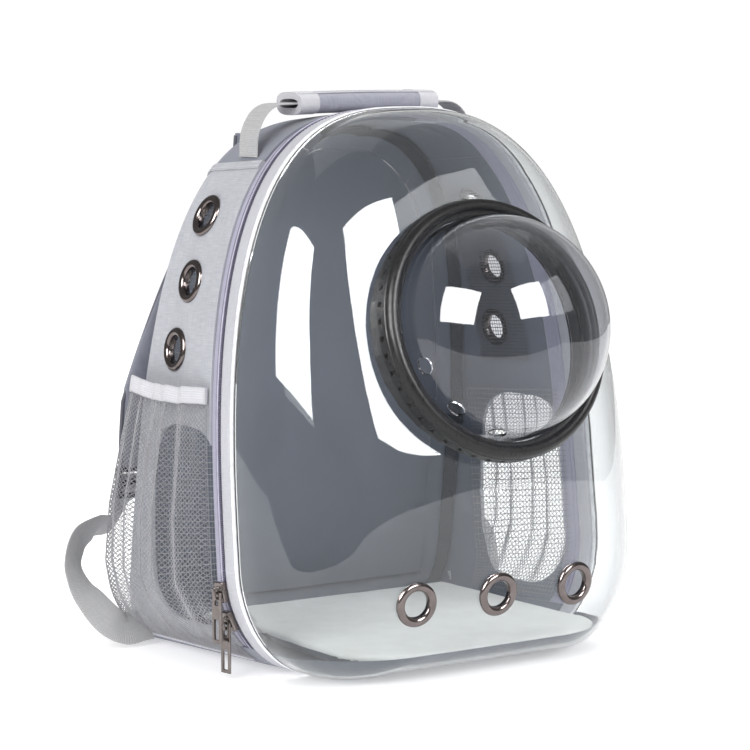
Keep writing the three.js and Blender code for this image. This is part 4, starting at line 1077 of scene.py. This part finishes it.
def pocket_bulge(across, up):
    ease = POCKET_EASE["rear"] if across > 0.5 else POCKET_EASE["front"]
    sides = max(0, 1 - min(1, abs(2 * across - 1)) ** ease) ** 0.8
    mouth = POCKET["mouth"] / POCKET["bulge"]
    belly = lerp(mouth, 1, clamp((1 - up) * 2.2)) * clamp(up * 3.2) ** POCKET["round"]
    folds = sum(
        deep * math.exp(-(((across - at - 0.03 * (up - 0.5)) / wide) ** 2)) for at, deep, wide in POCKET_FOLDS
    )
    gathered = folds * clamp(up * 4) * lerp(0.55, 1, clamp((1 - up) * 3))
    return POCKET["bulge"] * max(0, sides * belly - gathered * sides)


def pocket_place(across, height, up, out):
    u, along = 0.5, 0.0
    for _ in range(3):
        along = lerp(POCKET_FRONT, body_depth(u) + REAR_ROUND * 0.2, across)
        level = min(along, body_depth(u) - REAR_ROUND)
        u = turning_point(FOOT_SHARE, 1.0, 14, lambda v: body_place(v, level).z < height * MM)
    return body_place(u, along, pocket_bulge(across, up) + out)


pocket_net = worn_finish("pocket_net", (0.33, 0.33, 0.35), 0.5)
elastic_tape = ribbed("elastic_tape", (0.68, 0.68, 0.72), 1500, relief=0.0001, along_v=True)
piping_cord = ribbed("piping_cord", (0.62, 0.62, 0.68), 900)


def net_place(s, t):
    up = t
    puckers = 0.5 * math.sin(s * 61) + 0.4 * math.sin(s * 113 + 2 * up)
    place = pocket_place(s, lerp(POCKET["bottom"], pocket_top(s), up), up, POCKET["edge"])
    ripple = puckers * clamp(s * 8) * clamp((1 - s) * 8) * clamp(up * 3) * lerp(0.5, 1.2, up)
    return place + Vector((ripple * MM, 0, 0))


def elastic_place(s, t):
    x, y = point_of(elastic_section, t)
    height = pocket_top(s) + 0.3 + 6 + 6 * x
    return pocket_place(s, height, 1, POCKET["edge"] + 0.4 + y)


elastic_section = [(rounded(math.cos(a), 0.5), rounded(math.sin(a), 0.6)) for a in round_angles(20)]


def piping_place(s, t):
    a = 2 * math.pi * t
    base = pocket_place(s, POCKET["bottom"] + 0.6, 0, POCKET["edge"])
    return base + Vector((1.3 * MM * math.cos(a), 0, 1.3 * MM * math.sin(a)))


def settle_pair(piece, node=None):
    """Settles a right-hand piece, and its mirrored copy with the faces turned right again."""
    other = piece.copy()
    other.data = piece.data.copy()
    other.name = other.data.name = piece.name.replace("right", "left")
    bpy.context.collection.objects.link(other)
    other.data.transform(Matrix.Diagonal((-1, 1, 1, 1)))
    other.data.flip_normals()
    settle(piece, [f"{node}_right"] if node else ())
    settle(other, [f"{node}_left"] if node else ())
    return other


net = lay_sheet("pocket_net_right", 42, 50, net_place, [pocket_net])
pick(net)
corners = len(net.data.vertices)
bpy.ops.object.mode_set(mode="EDIT")
bpy.ops.mesh.select_all(action="SELECT")
bpy.ops.mesh.poke()
bpy.ops.mesh.select_all(action="DESELECT")
bpy.ops.mesh.select_mode(type="EDGE")
bpy.ops.object.mode_set(mode="OBJECT")
edge_faces = {}
for face in net.data.polygons:
    for key in face.edge_keys:
        edge_faces[key] = edge_faces.get(key, 0) + 1
for edge in net.data.edges:
    edge.select = max(edge.vertices) < corners and edge_faces[edge.key] == 2
bpy.ops.object.mode_set(mode="EDIT")
bpy.ops.mesh.dissolve_edges(use_verts=False)
bpy.ops.object.mode_set(mode="OBJECT")
apply_modifier(net, "WIREFRAME", thickness=0.00075, use_even_offset=False, use_boundary=True)
smooth(net, 60)
elastic = lay_sheet("pocket_elastic_right", 90, 20, elastic_place, [elastic_tape])
finish_tube(elastic)
piping = lay_sheet("pocket_piping_right", 90, 10, piping_place, [piping_cord])
finish_tube(piping, degrees=60)
settle_pair(net, "side_pocket")
settle_pair(elastic, "pocket_binding")
settle_pair(piping)


# ---------------------------------------- floor mat
# A thin foam pad in a white short-pile cover with slate sides. It lies loose on the cabin's floor.
mat_cover, tree, shader, where = principled("mat_cover")
pile = clouds(tree, where["Object"], 700.0, 3.0)[0]
tufts = clouds(tree, where["Object"], 60.0, 3.0)[0]
white = shader_node(tree, "ValToRGB", {0: tufts})
white.color_ramp.elements[0].position, white.color_ramp.elements[1].position = 0.3, 0.75
white.color_ramp.elements[0].color = (0.84, 0.845, 0.81, 1)
white.color_ramp.elements[1].color = (0.92, 0.92, 0.89, 1)
pile_bump = bumped(tree, pile, 0.7, 0.0008, bumped(tree, tufts, 0.6, 0.002))
feed(tree, shader, {"Base Color": white.outputs[0], "Normal": pile_bump})
feed(tree, shader, {"Roughness": 0.95, "Sheen Weight": 0.4})


def copy_of(node, name, materials):
    """A new piece with a merged copy of a CAD solid's mesh."""
    piece = frame["nodes"][node].copy()
    piece.data = piece.data.copy()
    piece.name = piece.data.name = name
    bpy.context.collection.objects.link(piece)
    piece.parent = None
    piece.data.materials.clear()
    for material in materials:
        piece.data.materials.append(material)
    tidy_mesh(piece, 1e-5)
    return piece


mat_sides = cloth("mat_sides", (0.07, 0.082, 0.11), (0.10, 0.115, 0.15), 1500, fleck=0.3, crease=0.002)
mat = copy_of("floor_mat", "mat_pad", [mat_cover, mat_sides])
apply_modifier(mat, "REMESH", mode="VOXEL", voxel_size=0.003, use_smooth_shade=True)
apply_modifier(mat, "SMOOTH", factor=0.5, iterations=6)
top = max(v.co.z for v in mat.data.vertices)
for vertex in mat.data.vertices:
    lift = 0.8 * MM * noise.noise(vertex.co * 14) * clamp((vertex.co.z - 0.008) / 0.01)
    vertex.co.z += lift - 0.4 * MM
for face in mat.data.polygons:
    face.material_index = 1 if face.center.z < top - 0.0045 else 0
smooth(mat, 60)
settle(mat, ["floor_mat"])


# half is its reach round the foot, as u, clear is its distance inside the shell's outer face
TRAY = {"half": 0.211, "top": 19.3, "clear": 2.7, "wall": 0.4}


def tray_place(s, t):
    """The cover's slate underside, which lines the moulded foot of the shell up to the pad's edge."""
    u = lerp(-TRAY["half"], TRAY["half"], s)
    q = lerp(0.05, turning_point(0.0, 9.0, 20, lambda row: shell_place(u, row).z < TRAY["top"] * MM), t)
    here = shell_place(u, q)
    across = shell_place(u + 0.004, q) - shell_place(u - 0.004, q)
    onward = shell_place(u, q + 0.05) - shell_place(u, max(0, q - 0.05))
    inward = across.cross(onward).normalized()
    if inward.z < 0:
        inward.negate()
    return here + inward * TRAY["clear"] * MM


tray = lay_sheet("mat_underside", 120, 40, tray_place, [mat_sides])
apply_modifier(tray, "SOLIDIFY", thickness=TRAY["wall"] * MM, offset=-1)
smooth(tray, 50)
settle(tray)


# ---------------------------------------- carry handle
# White ribbed webbing sewn into both gusset seams, with a padded slate sleeve folded round it. The
# sleeve's ends and its long edge are bound with white tape.
def smooth_path(points, count):
    """Evenly spaced places on a smooth curve through the points, in metres."""
    points = np.array([tuple(p) for p in points], dtype=float)
    knots = np.concatenate([[0], np.sqrt(np.linalg.norm(np.diff(points, axis=0), axis=1)).cumsum()])
    tangents = np.gradient(points, knots, axis=0)
    dense = []
    for i in range(len(points) - 1):
        for t in np.linspace(0, 1, 40, endpoint=i == len(points) - 2):
            h = knots[i + 1] - knots[i]
            dense.append(bend(points[i], points[i + 1], h * tangents[i], h * tangents[i + 1], t))
    dense = np.array(dense)
    run = np.concatenate([[0], np.linalg.norm(np.diff(dense, axis=0), axis=1).cumsum()])
    even = np.linspace(0, run[-1], count)
    return np.array([np.interp(even, run, dense[:, k]) for k in range(dense.shape[1])]).T


def along_path(name, centres, acrosses, section, material, sizes=None, capped=True):
    """A closed section of (across, off) in mm carried along a path; sizes scale it on the way."""
    steps = len(centres) - 1
    ahead = np.gradient(centres, axis=0)
    ahead /= np.linalg.norm(ahead, axis=1)[:, None]
    side = acrosses - ahead * (acrosses * ahead).sum(axis=1)[:, None]
    side /= np.linalg.norm(side, axis=1)[:, None]
    normal = np.cross(ahead, side)

    def place(s, t):
        i = round(s * steps)
        a, b = point_of(section, t)
        wide, thick = sizes[i] if sizes is not None else (1, 1)
        return Vector(centres[i] + side[i] * a * wide * MM + normal[i] * b * thick * MM)

    piece = lay_sheet(name, steps, len(section), place, [material])
    finish_tube(piece, capped)
    return piece


def flat_section(width, wall, corner=0.35, face=0.8, count=28):
    """A closed section of (across, off) in mm, squared at its edges by corner and face."""
    return [
        (width / 2 * rounded(math.cos(a), corner), wall / 2 * rounded(math.sin(a), face))
        for a in round_angles(count)
    ]


webbing_white = ribbed("webbing_white", (0.54, 0.54, 0.55), 750, relief=0.0004)
HANDLE = {"width": 25, "wall": 1.6, "behind": 62, "grip_half": 66, "grip_width": 33, "grip_wall": 7.5}
seam_place = body_place(gusset_u, HANDLE["behind"])
crown_place = body_place(1, HANDLE["behind"])
seam_x, seam_z, handle_y = seam_place.x / MM, seam_place.z / MM, seam_place.y / MM
grip_z = crown_place.z / MM + 0.3 + HANDLE["grip_wall"] + HANDLE["wall"] / 2
left_half = [
    (1.5 - seam_x, handle_y, seam_z + 1.1 + 2.4),
    (3 - seam_x, handle_y, lerp(seam_z, grip_z, 0.5)),
    (11 - seam_x, handle_y, lerp(seam_z, grip_z, 0.84)),
    (-lerp(HANDLE["grip_half"], seam_x, 0.42), handle_y, grip_z - 1),
    (-HANDLE["grip_half"], handle_y, grip_z),
    (0, handle_y, grip_z + 1),
]
handle_points = np.array(left_half + [(-x, y, z) for x, y, z in reversed(left_half[:-1])]) * MM
handle_path = smooth_path(handle_points, 181)
front_to_back = np.tile((0.0, 1.0, 0.0), (len(handle_path), 1))
handle_webbing = along_path(
    "handle_ribbon", handle_path, front_to_back, flat_section(HANDLE["width"], HANDLE["wall"]), webbing_white
)
settle(handle_webbing, ["handle_webbing"])

inside_grip = [i for i, p in enumerate(handle_path) if abs(p[0]) <= HANDLE["grip_half"] * MM * 0.94]
grip_path = handle_path[inside_grip[0] : inside_grip[-1] + 1]
grip_ways = front_to_back[: len(grip_path)]
grip_cloth = cloth(
    "grip_cloth", (0.30, 0.305, 0.37), (0.42, 0.42, 0.48), 1300, fleck=0.5, crease=0.003, crease_size=0.02
)
grip_height = 2 * HANDLE["grip_wall"] + HANDLE["wall"]
sleeve_section = flat_section(HANDLE["grip_width"], grip_height, 0.7, 0.75, 56)
grip = along_path("grip_sleeve", grip_path, grip_ways, sleeve_section, grip_cloth, capped=False)
apply_modifier(grip, "SOLIDIFY", thickness=0.0042, offset=-1)
smooth(grip, 50)
settle(grip, ["handle_grip"])
first, last = inside_grip[0] - 1, inside_grip[-1] + 2
for end, picked in {"left": handle_path[first : first + 13], "right": handle_path[last - 13 : last]}.items():
    wider = [(a * 1.03, b * 1.05) for a, b in sleeve_section]
    bound = along_path(f"grip_end_{end}", picked, grip_ways[:13], wider, elastic_tape, capped=False)
    apply_modifier(bound, "SOLIDIFY", thickness=0.0052, offset=-1)
    smooth(bound, 50)
    settle(bound)
edge_path = grip_path + np.array([0, -0.26, 0.44]) * np.array([1, HANDLE["grip_width"], grip_height]) * MM
flap_edge = along_path("grip_edge_tape", edge_path, grip_ways, flat_section(9, 1.4), elastic_tape)
settle(flap_edge)


# ---------------------------------------- shoulder straps
# Padded slate straps sewn in at the top of the back, piped along both edges. Each narrows to its
# end, where white webbing from the foot of the side comes up through a ladder lock.
STRAP = {"width": 62, "wall": 11, "tip": 30}
# across and height are of the right strap, off is its distance from the back
STRAP_PATH = (
    # across, height, off
    (40, 388, 6),
    (41, 372, 6.4),
    (45, 350, 22),
    (52, 318, 46),
    (64, 272, 60),
    (79, 224, 64),
    (95, 180, 60),
    (109, 146, 52),
    (118, 124, 44),
)
strap_points = [placed(across, rear_y(height) + off, height) for across, height, off in STRAP_PATH]
strap_path = smooth_path(strap_points, 121)
across_pack = np.tile((1.0, 0.0, 0.0), (len(strap_path), 1))
strap_sizes = []
for i in range(len(strap_path)):
    narrowing = clamp((i / (len(strap_path) - 1) - 0.8) / 0.2)
    width = lerp(STRAP["width"], STRAP["tip"], narrowing) / STRAP["width"]
    strap_sizes.append((width, lerp(1, 4 / STRAP["wall"], narrowing)))
pad_section = flat_section(STRAP["width"] - 3, STRAP["wall"], 0.5, count=48)
strap_cloth = cloth(
    "strap_cloth", (0.20, 0.21, 0.26), (0.30, 0.31, 0.36), 1400, fleck=0.4, crease=0.003, crease_size=0.03
)
strap = along_path("strap_pad_right", strap_path, across_pack, pad_section, strap_cloth, strap_sizes)
piping_slate = ribbed("piping_slate", (0.10, 0.10, 0.13), 900)
edges = []
PIPING_RADIUS = 1.7
for hand in (-1, 1):
    beside = strap_path + np.array([(hand * w * (STRAP["width"] - 3.4) / 2 * MM, 0, 0) for w, _ in strap_sizes])
    round_section = [(PIPING_RADIUS * math.cos(a), PIPING_RADIUS * math.sin(a)) for a in round_angles(12)]
    edges.append(along_path(f"strap_edge_{hand}", beside, across_pack, round_section, piping_slate))
pick(edges[0])
edges[1].select_set(True)
bpy.ops.object.join()
strap_edge = edges[0]
strap_edge.name = strap_edge.data.name = "strap_piping_right"

# x, y and z of the right webbing's middle, y from the back's depth, then its way across
WEB_PATH = (
    # x, y, z, across x, across y, across z
    (145, -33, 14.5, 0.1, -0.6, -0.78),
    (154, -34, 14.5, 0.1, -0.55, -0.82),
    (166, -35, 14, 0.2, -0.4, -0.87),
    (179, -32, 21.5, 0.6, -0.15, -0.75),
    (188, -21, 35.9, 0.84, -0.25, -0.47),
    (191, -9, 47.5, 0.82, -0.53, -0.20),
    (190, 1, 57.6, 0.80, -0.60, -0.05),
    (185, 10, 67.5, 0.77, -0.62, 0.11),
    (173, 21, 76.5, 0.77, -0.56, 0.32),
    (154, 31, 82.0, 0.67, -0.63, 0.39),
    (136, 39, 83.2, 0.58, -0.73, 0.36),
    (127, 41, 96, 0.8, -0.55, 0.1),
    (122, 36, 110, 0.97, -0.2, 0),
    (121, 31, 122, 1, 0, 0),
)
web_rows = np.array([(*placed(x, REAR_DEPTH + y, z), a, b, c) for x, y, z, a, b, c in WEB_PATH])
web_path = smooth_path(web_rows * (1, 1, 1, 0.02, 0.02, 0.02), 161)
webbing = along_path(
    "webbing_right", web_path[:, :3], web_path[:, 3:], flat_section(25, 1.6), webbing_white
)
lock = copy_of("ladder_lock_right", "lock_right", [black_plastic])


def soften(piece, width, segments):
    angle = math.radians(40)
    apply_modifier(piece, "BEVEL", width=width * MM, segments=segments, limit_method="ANGLE", angle_limit=angle)


soften(lock, 0.5, 2)
smooth(lock, 40)
settle_pair(strap, "shoulder_strap")
settle_pair(strap_edge)
settle_pair(webbing, "strap_webbing")
settle_pair(lock, "ladder_lock")


# ---------------------------------------- sliders and pulls
# Die-cast zip sliders, gunmetal plated, each with an arch that holds a flat windowed pull.
zip_metal = worn_finish("zip_metal", (0.20, 0.175, 0.165), 0.22, metallic=1.0)
for i in (1, 2):
    for kind, body in (("zip_slider", "root"), ("zip_pull", f"pull_{i}")):
        node = f"{kind}_{i}"
        fitting = copy_of(node, f"{kind}_cast_{i}", [zip_metal])
        soften(fitting, 0.4, 3)
        smooth(fitting, 40)
        settle(fitting, [node], body)
